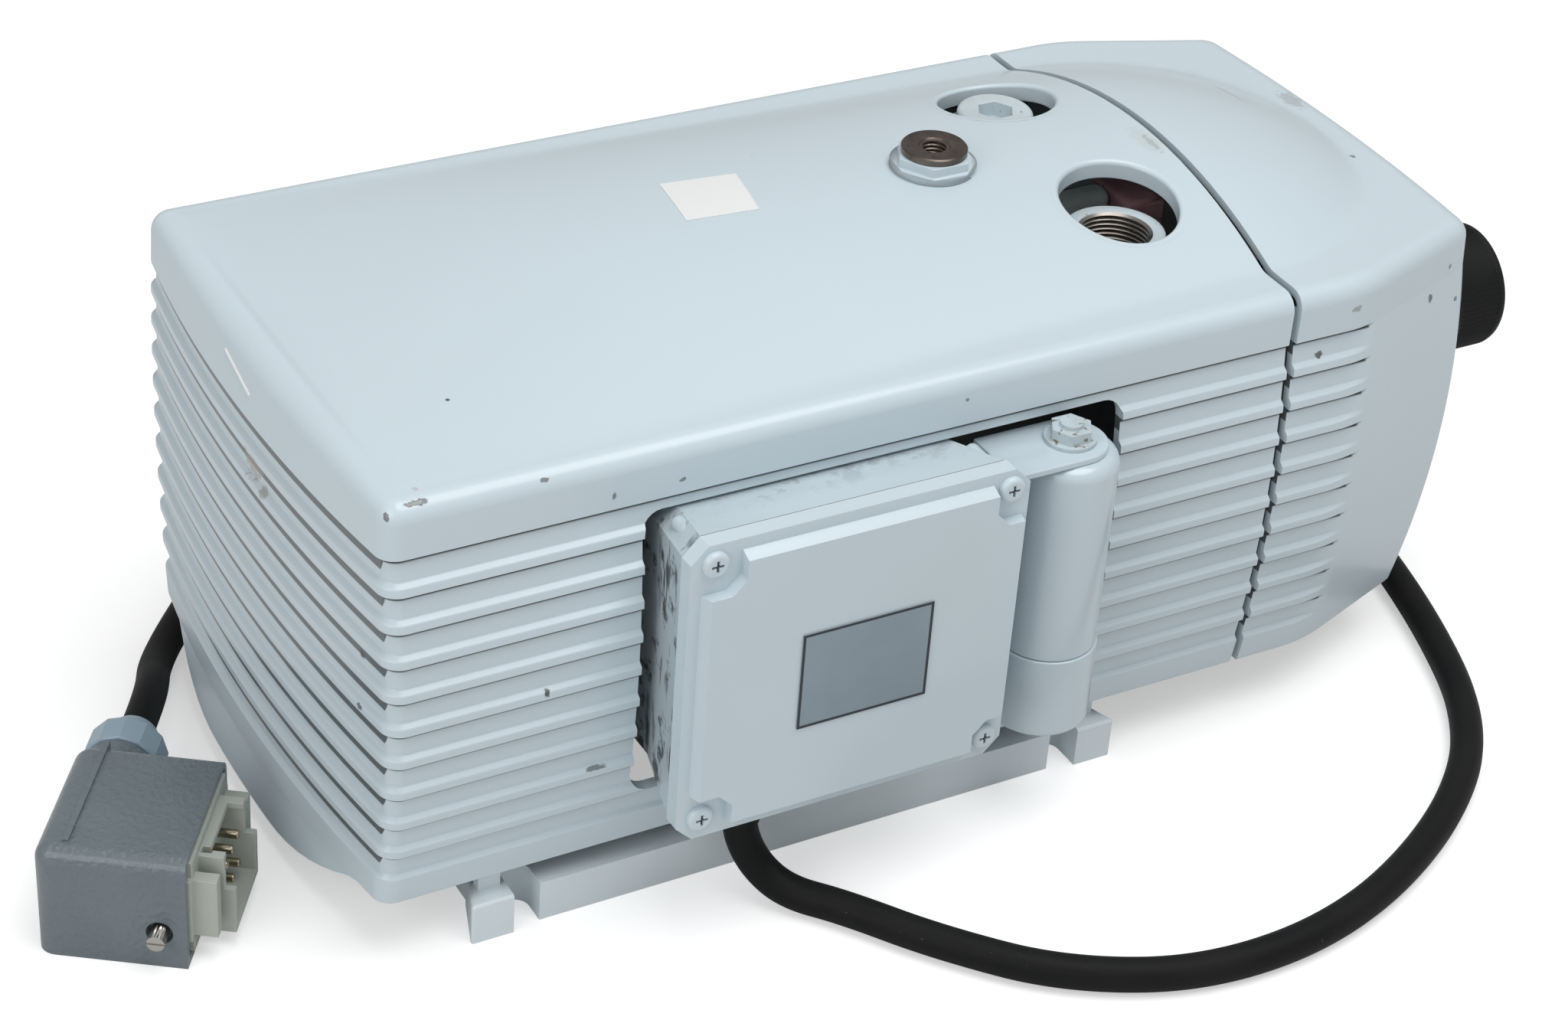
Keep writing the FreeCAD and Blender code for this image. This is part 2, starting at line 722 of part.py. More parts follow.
def rail(side):
    """Base rail with two foot slots that open outwards."""
    front = side * -RAIL_FRONT_Y
    step = side * -(RAIL_FRONT_Y - RAIL_STEP)
    rear = side * -(RAIL_FRONT_Y - RAIL_WIDTH)
    half = RAIL_HALF_LENGTH
    slim = half - RAIL_END_SLANT
    body = prism_z([(-half, front), (-SLOT_X, front), (-SLOT_X, step), (SLOT_X, step), (SLOT_X, front),
                    (half, front), (slim, rear), (-slim, rear)], 0, RAIL_HEIGHT)
    cutters = []
    for x in (-SLOT_X, SLOT_X):
        end = side * -(RAIL_FRONT_Y - SLOT_DEPTH + SLOT_WIDTH / 2)
        outer = side * -(RAIL_FRONT_Y + 5)
        low_y, high_y = min(end, outer), max(end, outer)
        cutters.append(box(x - SLOT_WIDTH / 2, x + SLOT_WIDTH / 2, low_y, high_y, -1, RAIL_HEIGHT + 1))
        cutters.append(cylinder_z(-1, RAIL_HEIGHT + 1, SLOT_WIDTH / 2, x, end))
    uprights = []
    y_far = half_width(RIM_Z) - INNER_INSET - HOOD_PAD_T - 2 * SEAT_GAP
    low_y, high_y = sorted((side * -y_far, side * -(y_far - CROSS_WALL)))
    for x in (-UPRIGHT_X, UPRIGHT_X):
        uprights.append(box(x - UPRIGHT_HALF, x + UPRIGHT_HALF, low_y, high_y, RAIL_HEIGHT, RIM_Z + UPRIGHT_H))
    return body.cut(cutters).fuse(uprights).removeSplitter()


def hood_pads():
    """Rubber strips between the base uprights and the hood's inner wall."""
    outer = half_width(RIM_Z) - INNER_INSET - SEAT_GAP
    pads = []
    for x in (-UPRIGHT_X, UPRIGHT_X):
        for side in (-1, 1):
            low_y, high_y = sorted((side * outer, side * (outer - HOOD_PAD_T)))
            pads.append(box(x - UPRIGHT_HALF, x + UPRIGHT_HALF, low_y, high_y, RIM_Z + 2, RIM_Z + UPRIGHT_H))
    return Part.makeCompound(pads)


def cross_member(side):
    """Upside-down channel that joins the two rails."""
    reach = RAIL_FRONT_Y - RAIL_WIDTH
    x0, x1 = sorted((side * CROSS_INNER_X, side * CROSS_OUTER_X))
    channel = box(x0, x1, -reach, reach, 0, RAIL_HEIGHT)
    room = box(x0 + CROSS_WALL, x1 - CROSS_WALL, -reach + CROSS_WALL, reach - CROSS_WALL, -1,
               RAIL_HEIGHT - CROSS_WALL)
    return channel.cut(room)


def buffers(side):
    """Two rubber buffers, waisted like a spool."""
    z0 = RAIL_HEIGHT
    z1 = z0 + BUFFER_H
    middle = (z0 + z1) / 2
    waist = BUFFER_R - 1.5
    spools = []
    for y in (-BUFFER_Y, BUFFER_Y):
        spools.append(revolve_z([(0, z0), (BUFFER_R, z0), (BUFFER_R, z0 + 3), (waist, middle),
                                 (BUFFER_R, z1 - 3), (BUFFER_R, z1), (0, z1)], side * BUFFER_X, y))
    return Part.makeCompound(spools)


def foot_bracket(side, carrier_r, saddle_x):
    """Bridge on the buffers with a saddle that carries the machine."""
    z0 = RAIL_HEIGHT + BUFFER_H
    z1 = z0 + FOOT_PLATE
    cross_x = side * (CROSS_INNER_X + CROSS_OUTER_X) / 2
    half = (CROSS_OUTER_X - CROSS_INNER_X) / 2
    x0 = min(cross_x - half, saddle_x)
    x1 = max(cross_x + half, saddle_x + SADDLE_LENGTH)
    plate = box(x0, x1, -FOOT_HALF_WIDTH, FOOT_HALF_WIDTH, z0, z1)
    saddle = box(saddle_x, saddle_x + SADDLE_LENGTH, -SADDLE_HALF_WIDTH, SADDLE_HALF_WIDTH, z1,
                 AXIS_Z - carrier_r / 2)
    hollow = cylinder_x(x0 - 1, x1 + 1, carrier_r)
    return plate.fuse(saddle).cut(hollow).removeSplitter()


def motor_housing():
    tube = ring_x(MOTOR_LEFT_X, MOTOR_RIGHT_X, MOTOR_R, MOTOR_R - MOTOR_WALL)
    fins = []
    for i in range(MOTOR_FIN_COUNT):
        angle = 30 + 120 * i / (MOTOR_FIN_COUNT - 1)
        fin = box(MOTOR_LEFT_X + 10, MOTOR_RIGHT_X - 10, MOTOR_R - 1, MOTOR_R + MOTOR_FIN_H,
                  -MOTOR_FIN_T / 2, MOTOR_FIN_T / 2)
        fin.translate(V(0, 0, AXIS_Z))
        fin.rotate(V(0, 0, AXIS_Z), V(1, 0, 0), angle)
        fins.append(fin)
    middle_x = (BOX_LEFT_X + BOX_RIGHT_X) / 2
    pad = box(middle_x - BOX_PAD_HALF_X, middle_x + BOX_PAD_HALF_X, BOX_BACK_Y, -MOTOR_R / 2,
              AXIS_Z - BOX_PAD_HALF_Z, AXIS_Z + BOX_PAD_HALF_Z)
    pad = pad.cut(cylinder_x(MOTOR_LEFT_X, MOTOR_RIGHT_X, MOTOR_R - MOTOR_WALL))
    return tube.fuse(fins + [pad]).removeSplitter()


def end_shield():
    """Fan-side shield with its spigot in the housing and the bearing seat."""
    x0 = MOTOR_LEFT_X - SHIELD_T
    inner_r = MOTOR_R - MOTOR_WALL
    plate = cylinder_x(x0, MOTOR_LEFT_X, MOTOR_R)
    spigot = ring_x(MOTOR_LEFT_X, MOTOR_LEFT_X + 4, inner_r, inner_r - 4)
    seat = ring_x(MOTOR_LEFT_X, MOTOR_LEFT_X + BEARING_WIDTH, BEARING_R + 4, BEARING_R)
    shield = plate.fuse([spigot, seat])
    shield = shield.cut(cylinder_x(MOTOR_LEFT_X, MOTOR_LEFT_X + BEARING_WIDTH + 1, BEARING_R))
    return shield.cut(cylinder_x(x0 - 1, MOTOR_LEFT_X + 1, SHAFT_R + 1)).removeSplitter()


def stator_core():
    return ring_x(STATOR_LEFT_X, STATOR_RIGHT_X, MOTOR_R - MOTOR_WALL, STATOR_BORE_R)


def windings():
    left = ring_x(STATOR_LEFT_X - WINDING_LENGTH, STATOR_LEFT_X, WINDING_R_OUT, WINDING_R_IN)
    right = ring_x(STATOR_RIGHT_X, STATOR_RIGHT_X + WINDING_LENGTH, WINDING_R_OUT, WINDING_R_IN)
    return Part.makeCompound([left, right])


def rotor_core():
    core = ring_x(STATOR_LEFT_X, STATOR_RIGHT_X, STATOR_BORE_R - AIR_GAP, SHAFT_R)
    left = ring_x(STATOR_LEFT_X - 6, STATOR_LEFT_X, STATOR_BORE_R - 2, STATOR_BORE_R - 12)
    right = ring_x(STATOR_RIGHT_X, STATOR_RIGHT_X + 6, STATOR_BORE_R - 2, STATOR_BORE_R - 12)
    return core.fuse([left, right]).removeSplitter()


def shaft():
    return cylinder_x(FAN_X - 3, PUMP_RIGHT_X + PUMP_COVER_T - 1, SHAFT_R)


def bearing(x0):
    """Deep-groove bearing drawn as one ring with the gap between its races."""
    groove_r = (BEARING_R + SHAFT_R + RUN_GAP) / 2
    body = ring_x(x0, x0 + BEARING_WIDTH, BEARING_R, SHAFT_R + RUN_GAP)
    grooves = [ring_x(x0 - 1, x0 + 1, groove_r + 2.5, groove_r - 2.5),
               ring_x(x0 + BEARING_WIDTH - 1, x0 + BEARING_WIDTH + 1, groove_r + 2.5, groove_r - 2.5)]
    return body.cut(grooves)


def cooling_fan():
    hub = ring_x(FAN_X, FAN_X + FAN_WIDTH, FAN_HUB_R, SHAFT_R)
    disc = ring_x(FAN_X + FAN_WIDTH - 2, FAN_X + FAN_WIDTH, FAN_R, SHAFT_R)
    blades = []
    for i in range(FAN_BLADES):
        blade = box(FAN_X, FAN_X + FAN_WIDTH - 2, FAN_HUB_R - 1, FAN_R, -FAN_BLADE_T / 2, FAN_BLADE_T / 2)
        blade.translate(V(0, 0, AXIS_Z))
        blade.rotate(V(0, 0, AXIS_Z), V(1, 0, 0), 360 * i / FAN_BLADES)
        blades.append(blade)
    return hub.fuse([disc] + blades).removeSplitter()


def fan_cowl():
    """Air guide round the fan, fixed to the end shield."""
    right = MOTOR_LEFT_X - SHIELD_T
    tube = ring_x(FAN_X - 5, right, MOTOR_R, MOTOR_R - COWL_WALL)
    lip = ring_x(FAN_X - 5, FAN_X - 5 + COWL_WALL, MOTOR_R, FAN_R + 3)
    return tube.fuse(lip).removeSplitter()


def pump_cover_inner():
    """Cover between motor and pump, with its bearing on the motor side."""
    cover = cylinder_x(MOTOR_RIGHT_X, PUMP_LEFT_X, MOTOR_R)
    pocket = cylinder_x(MOTOR_RIGHT_X - 1, MOTOR_RIGHT_X + BEARING_WIDTH, BEARING_R)
    return cover.cut([pocket, cylinder_x(MOTOR_RIGHT_X, PUMP_LEFT_X + 1, SHAFT_R + 1)])


def pump_cover_outer():
    """Outer pump cover, with its bearing on the far side and the seat of the regulator valve."""
    x0 = PUMP_RIGHT_X
    x1 = x0 + PUMP_COVER_T
    cover = cylinder_x(x0, x1, MOTOR_R)
    seat = cylinder_x(x1 - 2, x1 + CONE_TIP, REGULATOR_R + 2, REGULATOR_Y, REGULATOR_Z)
    cutters = [
        cylinder_x(x1 - BEARING_WIDTH, x1 + 1, BEARING_R),
        cylinder_x(x0 - 1, x1, SHAFT_R + 1),
        cylinder_x(x0 + 4, x1 + CONE_TIP + 1, REGULATOR_SEAT_R, REGULATOR_Y, REGULATOR_Z),
    ]
    return cover.fuse(seat).cut(cutters).removeSplitter()


def pump_cylinder():
    """Casting with the eccentric vane chamber and the two port bosses on top."""
    body = cylinder_x(PUMP_LEFT_X, PUMP_RIGHT_X, PUMP_OUTER_R)
    bosses = []
    for side in (-1, 1):
        y = side * PORT_Y
        x0 = PORT_X - BOSS_HALF
        bosses.append(box(x0, PUMP_RIGHT_X, y - BOSS_HALF, y + BOSS_HALF, AXIS_Z, BOSS_TOP_Z))
    half = STUD_CARRIER_HALF
    top = AXIS_Z + PUMP_OUTER_R + STUD_CARRIER_RISE
    rib = box(STUD_X - half, STUD_X + half, -half, half, AXIS_Z, top)
    bore = cylinder_x(PUMP_LEFT_X - 1, PUMP_RIGHT_X + 1, PUMP_BORE_R, 0, PUMP_BORE_Z)
    cutters = [bore]
    cutters.append(cylinder_z(BOSS_TOP_Z - CHAMBER_DEPTH, BOSS_TOP_Z + 1, PORT_THREAD_R, PORT_X, -PORT_Y))
    cutters.append(cylinder_z(AXIS_Z, BOSS_TOP_Z, PASSAGE_R, PORT_X, -PASSAGE_Y))
    cutters.append(cylinder_z(BOSS_TOP_Z - CHAMBER_DEPTH, BOSS_TOP_Z + 1, PORT_THREAD_R, PORT_X, PORT_Y))
    cutters.append(cylinder_z(AXIS_Z, BOSS_TOP_Z, PASSAGE_R, PORT_X, PASSAGE_Y))
    for side in (-1, 1):
        cutters.append(cylinder_z(BOSS_TOP_Z, PORT_TOP_Z, PORT_FLANGE_R + FLANGE_SPOT_GAP, PORT_X, side * PORT_Y))
    cutters.append(cylinder_z(top - STUD_ROOT_DEPTH, top + 1, STUD_R - 1, STUD_X, 0))
    return body.fuse(bosses + [rib]).cut(cutters).removeSplitter()


def pump_rotor():
    x0 = PUMP_LEFT_X + PUMP_SIDE_GAP
    x1 = PUMP_RIGHT_X - PUMP_SIDE_GAP
    body = ring_x(x0, x1, PUMP_ROTOR_R, SHAFT_R)
    return body.cut(vane_bars(VANE_T / 2 + VANE_CLEARANCE, x0 - 1, x1 + 1, 2.0))


def vane_bars(half_thickness, x0, x1, over):
    """One bar per vane, offset from the axis as in a tilted slot."""
    bars = []
    for i in range(VANE_COUNT):
        depth = VANE_DEPTH if over == 0 else VANE_DEPTH + VANE_CLEARANCE
        reach = math.sqrt(PUMP_ROTOR_R ** 2 - (6 + VANE_T / 2) ** 2) - RUN_GAP
        bar = box(x0, x1, reach - depth, reach + over, 6 - half_thickness, 6 + half_thickness)
        bar.translate(V(0, 0, AXIS_Z))
        bar.rotate(V(0, 0, AXIS_Z), V(1, 0, 0), 360 * i / VANE_COUNT)
        bars.append(bar)
    return bars


def vanes():
    x0 = PUMP_LEFT_X + PUMP_SIDE_GAP
    x1 = PUMP_RIGHT_X - PUMP_SIDE_GAP
    return Part.makeCompound(vane_bars(VANE_T / 2, x0, x1, 0))


def port_flange(side):
    """Screwed-in port piece with the pipe thread; on the suction side it holds the valve seat."""
    y = side * PORT_Y
    seat_r = VALVE_SEAT_R
    ring = cylinder_z(BOSS_TOP_Z, PORT_TOP_Z, PORT_FLANGE_R, PORT_X, y)
    thread = cylinder_z(PORT_TOP_Z - PORT_THREAD_LENGTH, PORT_TOP_Z + 1, PORT_THREAD_R, PORT_X, y)
    return ring.cut([thread, cylinder_z(BOSS_TOP_Z - 1, PORT_TOP_Z, seat_r, PORT_X, y)])


def valve_disc():
    top = BOSS_TOP_Z - RUN_GAP
    disc = cylinder_z(top - VALVE_DISC_T, top, VALVE_DISC_R, PORT_X, -PORT_Y)
    guide_r = VALVE_SPRING_R - VALVE_SPRING_WALL - 0.4
    return disc.fuse(cylinder_z(top - VALVE_DISC_T - 3, top, guide_r, PORT_X, -PORT_Y)).removeSplitter()


def valve_spring():
    z0 = BOSS_TOP_Z - CHAMBER_DEPTH
    z1 = BOSS_TOP_Z - RUN_GAP - VALVE_DISC_T
    return ring_z(z0, z1, VALVE_SPRING_R, VALVE_SPRING_R - VALVE_SPRING_WALL, PORT_X, -PORT_Y)


def closing_plug():
    head = cylinder_z(PORT_TOP_Z, PORT_TOP_Z + PLUG_HEAD_H, PLUG_HEAD_R, PORT_X, PORT_Y)
    rim = [e for e in head.Edges if abs(e.BoundBox.ZMin - PORT_TOP_Z - PLUG_HEAD_H) < 0.01
           and abs(e.BoundBox.ZMax - PORT_TOP_Z - PLUG_HEAD_H) < 0.01]
    head = head.makeFillet(2.0, rim)
    shank = cylinder_z(PORT_TOP_Z - PORT_THREAD_LENGTH, PORT_TOP_Z, PORT_THREAD_R, PORT_X, PORT_Y)
    top = PORT_TOP_Z + PLUG_HEAD_H
    socket = hexagon_z(top - PLUG_SOCKET_DEPTH, top + 1, PLUG_SOCKET_AF, PORT_X, PORT_Y)
    return head.fuse(shank).cut(socket).removeSplitter()


def lifting_stud():
    root = AXIS_Z + PUMP_OUTER_R + 10 - STUD_ROOT_DEPTH
    head = cylinder_z(STUD_TOP_Z - STUD_HEAD_H, STUD_TOP_Z, STUD_HEAD_R, STUD_X, 0)
    stem = cylinder_z(root, STUD_TOP_Z - STUD_HEAD_H, STUD_R - 1, STUD_X, 0)
    thread = cylinder_z(STUD_TOP_Z - STUD_THREAD_LENGTH, STUD_TOP_Z + 1, STUD_THREAD_R, STUD_X, 0)
    return head.fuse(stem).cut(thread).removeSplitter()


def stud_nut():
    """Flanged hexagon nut that clamps the hood, tapped on the stud."""
    z1 = STUD_TOP_Z - STUD_HEAD_H
    z0 = stud_pad_z()
    flange = cylinder_z(z0, z0 + STUD_FLANGE_H, STUD_FLANGE_R, STUD_X, 0)
    body = hexagon_z(z0, z1, STUD_NUT_AF, STUD_X, 0)
    return flange.fuse(body).cut(cylinder_z(z0 - 1, z1 + 1, STUD_R - 1, STUD_X, 0)).removeSplitter()


def cap_inner_end_x(y):
    """Inner face of the cap's end wall beside the regulator."""
    end_r = (CAP_END_HALF ** 2 + CAP_END_BOW ** 2) / (2 * CAP_END_BOW)
    middle = CAP_END_X + CAP_END_BOW - CAP_END_CURVE * (REGULATOR_Z - CAP_END_MID_Z) ** 2
    return middle - (end_r - math.sqrt(end_r ** 2 - y ** 2)) - INNER_INSET


def regulator_body():
    """Valve tube from the pump cover to the end of the cap, with its cross bores."""
    x0 = PUMP_RIGHT_X + PUMP_COVER_T + CONE_TIP
    x_end = cap_inner_end_x(abs(REGULATOR_Y) + REGULATOR_COLLAR_R) - CAP_WALL_GAP
    neck_end = cap_inner_end_x(abs(REGULATOR_Y)) + INNER_INSET + REGULATOR_NECK_OUT
    collar_x = x_end - REGULATOR_COLLAR_T
    tube = cylinder_x(x0, collar_x, REGULATOR_R, REGULATOR_Y, REGULATOR_Z)
    collar = cylinder_x(collar_x, x_end, REGULATOR_COLLAR_R, REGULATOR_Y, REGULATOR_Z)
    neck = cylinder_x(collar_x, neck_end, REGULATOR_NECK_R, REGULATOR_Y, REGULATOR_Z)
    chamber = cylinder_x(x0 - 1, collar_x - 10, REGULATOR_BORE_R, REGULATOR_Y, REGULATOR_Z)
    guide = cylinder_x(x0, neck_end + 1, SPINDLE_R + RUN_GAP, REGULATOR_Y, REGULATOR_Z)
    middle = (x0 + collar_x) / 2
    vent = cylinder_y(REGULATOR_Y - 20, REGULATOR_Y + 20, 3.0, middle, REGULATOR_Z)
    return tube.fuse([collar, neck]).cut([chamber, guide, vent]).removeSplitter()


def regulator_ring_nut():
    wall_x = cap_inner_end_x(abs(REGULATOR_Y) - RING_NUT_R) + INNER_INSET + SEAT_GAP
    return ring_x(wall_x, wall_x + RING_NUT_T, RING_NUT_R, REGULATOR_NECK_R, REGULATOR_Y, REGULATOR_Z)


def regulator_cone():
    """Bleed valve cone that the spindle screws in and out of its seat."""
    x0 = PUMP_RIGHT_X + PUMP_COVER_T
    shoulder = x0 + CONE_TIP + SEAT_GAP
    end = x0 + CONE_LENGTH
    radius = REGULATOR_BORE_R - RUN_GAP
    cone = revolve_x([(x0 + 0.6, 0), (x0 + 0.6, REGULATOR_SEAT_R - 2.5), (shoulder, REGULATOR_SEAT_R - RUN_GAP),
                      (shoulder, radius), (end, radius), (end, 0)], REGULATOR_Y, REGULATOR_Z)
    return cone.cut(cylinder_x(shoulder + 3, end + 1, SPINDLE_R + SPINDLE_CLEARANCE, REGULATOR_Y, REGULATOR_Z))


def regulator_spindle():
    x0 = PUMP_RIGHT_X + PUMP_COVER_T + CONE_TIP + REGULATOR_TRAVEL + 4
    return cylinder_x(x0, KNOB_RIGHT_X - 6, SPINDLE_R, REGULATOR_Y, REGULATOR_Z)


def regulator_knob():
    """Knurled knob with a hollow back that covers the ring nut."""
    body = cylinder_x(KNOB_LEFT_X, KNOB_RIGHT_X, KNOB_R, REGULATOR_Y, REGULATOR_Z)
    rims = [e for e in body.Edges if e.BoundBox.XLength < 0.01]
    body = body.makeFillet(KNOB_EDGE_R, rims)
    pocket = cylinder_x(KNOB_LEFT_X - 1, KNOB_LEFT_X + KNOB_POCKET_DEPTH, KNOB_R - KNOB_SKIRT_WALL,
                        REGULATOR_Y, REGULATOR_Z)
    bore = cylinder_x(KNOB_LEFT_X, KNOB_RIGHT_X - 6, SPINDLE_R, REGULATOR_Y, REGULATOR_Z)
    return body.cut([pocket, bore])


def filter_cartridge():
    return ring_x(FILTER_LEFT_X, FILTER_LEFT_X + FILTER_LENGTH, FILTER_R, FILTER_BORE_R, FILTER_Y, FILTER_Z)


def filter_holder():
    """Two plates and the rod that hold the filter cartridge on the pump cover."""
    right = FILTER_LEFT_X + FILTER_LENGTH
    cover_x = PUMP_RIGHT_X + PUMP_COVER_T
    back = cylinder_x(FILTER_LEFT_X - FILTER_PLATE_T, FILTER_LEFT_X, FILTER_R, FILTER_Y, FILTER_Z)
    front = cylinder_x(right, right + FILTER_PLATE_T, FILTER_R, FILTER_Y, FILTER_Z)
    rod = cylinder_x(cover_x, right + FILTER_PLATE_T + 6, FILTER_ROD_R, FILTER_Y, FILTER_Z)
    collar = cylinder_x(cover_x, FILTER_LEFT_X, FILTER_BORE_R - 2, FILTER_Y, FILTER_Z)
    return back.fuse([front, rod, collar]).removeSplitter()


def chamfered_rectangle(x0, x1, z0, z1, corner):
    return [(x0 + corner, z0), (x1 - corner, z0), (x1, z0 + corner), (x1, z1 - corner),
            (x1 - corner, z1), (x0 + corner, z1), (x0, z1 - corner), (x0, z0 + corner)]


def xz_wire(points, y):
    corners = [V(x, y, z) for x, z in points]
    return Part.makePolygon(corners + [corners[0]])


def box_section(inset):
    return chamfered_rectangle(BOX_LEFT_X + inset, BOX_RIGHT_X - inset, BOX_BOTTOM_Z + inset,
                               BOX_TOP_Z - inset, BOX_CORNER)


def lid_screw_places():
    return [(x, z) for x in (LID_SCREW_X0, LID_SCREW_X1) for z in (LID_SCREW_Z0, LID_SCREW_Z1)]


def terminal_box():
    """Open housing whose walls flare towards the lid, with screw posts in the corners."""
    outer = Part.makeLoft([xz_wire(box_section(0), BOX_GASKET_Y),
                           xz_wire(box_section(BOX_DRAFT), BOX_NECK_Y),
                           xz_wire(box_section(BOX_DRAFT), BOX_BACK_Y)], True, True)
    inner = Part.makeLoft([xz_wire(box_section(BOX_WALL), BOX_GASKET_Y - 0.01),
                           xz_wire(box_section(BOX_DRAFT + BOX_WALL), BOX_NECK_Y),
                           xz_wire(box_section(BOX_DRAFT + BOX_WALL), BOX_BACK_Y - BOX_WALL)], True, True)
    posts = [cylinder_y(BOX_GASKET_Y, BOX_BACK_Y - 1, 2 * LID_SCREW_R, x, z) for x, z in lid_screw_places()]
    shell = outer.cut(inner).fuse([post.common(outer) for post in posts])
    holes = [cylinder_y(BOX_GASKET_Y - 1, BOX_GASKET_Y + LID_SCREW_LENGTH, LID_SCREW_R, x, z)
             for x, z in lid_screw_places()]
    for x in (GLAND_X, BLANK_X):
        holes.append(cylinder_z(BOX_BOTTOM_Z - 1, BOX_BOTTOM_Z + 12, GLAND_THREAD_R, x, GLAND_Y))
    return shell.cut(holes).removeSplitter()


def lid_gasket():
    y0 = BOX_GASKET_Y - LID_GASKET_T
    band = prism_y(box_section(0), y0, BOX_GASKET_Y).cut(prism_y(box_section(BOX_WALL), y0 - 1, BOX_GASKET_Y + 1))
    holes = [cylinder_y(BOX_GASKET_Y - 3, BOX_GASKET_Y + 3, LID_SCREW_R + SCREW_CLEARANCE, x, z)
             for x, z in lid_screw_places()]
    return band.cut(holes)


def lid_plane_y():
    return BOX_GASKET_Y - LID_GASKET_T - LID_FLANGE_T


def terminal_lid():
    """Cast lid with a raised panel that leaves a pocket for the screw at each corner."""
    back = BOX_GASKET_Y - LID_GASKET_T
    plane = lid_plane_y()
    outline = chamfered_rectangle(BOX_LEFT_X - LID_OVERHANG, BOX_RIGHT_X + LID_OVERHANG,
                                  BOX_BOTTOM_Z - LID_OVERHANG, BOX_TOP_Z + LID_OVERHANG, BOX_CORNER)
    flange = prism_y(outline, plane, back)
    x0, x1 = BOX_LEFT_X + LID_PANEL_INSET, BOX_RIGHT_X - LID_PANEL_RIGHT_INSET
    z0, z1 = BOX_BOTTOM_Z + LID_PANEL_INSET, BOX_TOP_Z - LID_PANEL_INSET
    draft = LID_PANEL_DRAFT
    foot = chamfered_rectangle(x0, x1, z0, z1, 2.0)
    face = chamfered_rectangle(x0 + draft, x1 - draft / 2, z0 + draft, z1 - draft, 2.0)
    panel = Part.makeLoft([xz_wire(foot, plane + 0.01), xz_wire(face, plane - LID_PANEL_T)], True, True)
    pockets = []
    for x, z in lid_screw_places():
        reach = LID_POCKET if x < 0 else LID_POCKET_RIGHT
        inner_x = BOX_LEFT_X + reach if x < 0 else BOX_RIGHT_X - reach
        outer_x = BOX_LEFT_X - 5 if x < 0 else BOX_RIGHT_X + 5
        middle_z = (BOX_BOTTOM_Z + BOX_TOP_Z) / 2
        away = 1 if z > middle_z else -1
        edge_z = BOX_TOP_Z if z > middle_z else BOX_BOTTOM_Z
        inner_z = edge_z - away * LID_POCKET
        cut = LID_POCKET_CUT
        toward = 1 if x < 0 else -1
        pocket = [(outer_x, edge_z + away * 5), (inner_x, edge_z + away * 5), (inner_x, inner_z + away * cut),
                  (inner_x - toward * cut, inner_z), (outer_x, inner_z)]
        pockets.append(prism_y(pocket, plane - LID_PANEL_T - 1, plane))
    lid = flange.fuse(panel.cut(pockets))
    room = prism_y(box_section(BOX_WALL + 1), back - LID_FLANGE_T + 2.5, back + 1)
    pillars = [cylinder_y(plane, back, 2 * LID_SCREW_R, x, z) for x, z in lid_screw_places()]
    holes = [cylinder_y(plane - 1, back + 1, LID_SCREW_R + SCREW_CLEARANCE, x, z)
             for x, z in lid_screw_places()]
    return lid.cut(room).fuse(pillars).cut(holes).removeSplitter()


def lid_screws():
    screws = []
    plane = lid_plane_y()
    for x, z in lid_screw_places():
        head = cylinder_y(plane - LID_SCREW_HEAD_H, plane, LID_SCREW_HEAD_R, x, z)
        rim = [e for e in head.Edges if e.BoundBox.YLength < 0.01 and e.BoundBox.YMin < plane - 1]
        head = head.makeFillet(LID_SCREW_DOME_R, rim)
        shank = cylinder_y(plane, plane + LID_SCREW_LENGTH, LID_SCREW_R, x, z)
        long_half = CROSS_SLOT_REACH
        thin_half = CROSS_SLOT_HALF
        slots = [box(x - a, x + a, plane - 2 * LID_SCREW_HEAD_H, plane - 1, z - b, z + b)
                 for a, b in ((long_half, thin_half), (thin_half, long_half))]
        screws.append(head.fuse(shank).cut(slots).removeSplitter())
    return Part.makeCompound(screws)


def rating_plate():
    y = lid_plane_y() - LID_PANEL_T
    return box(PLATE_X0, PLATE_X1, y - PLATE_T, y, PLATE_Z0, PLATE_Z1)


def terminal_block():
    """Terminal strip on the box's back wall, with one post per terminal."""
    y0 = BOX_BACK_Y - BOX_WALL
    middle_x = (BOX_LEFT_X + BOX_RIGHT_X) / 2
    middle_z = (BOX_BOTTOM_Z + BOX_TOP_Z) / 2
    face_y = y0 - TERMINAL_BLOCK_T
    body = box(middle_x - TERMINAL_BLOCK_HALF_X, middle_x + TERMINAL_BLOCK_HALF_X, face_y, y0,
               middle_z - TERMINAL_BLOCK_HALF_Z, middle_z + TERMINAL_BLOCK_HALF_Z)
    posts = []
    for i in range(TERMINAL_POSTS):
        x = middle_x + POST_PITCH_X * (i % 3 - 1)
        z = middle_z + POST_PITCH_Z * (i // 3 - 0.5)
        posts.append(cylinder_y(face_y - POST_OUT, face_y + 1, POST_R, x, z))
    return body.fuse(posts).removeSplitter()


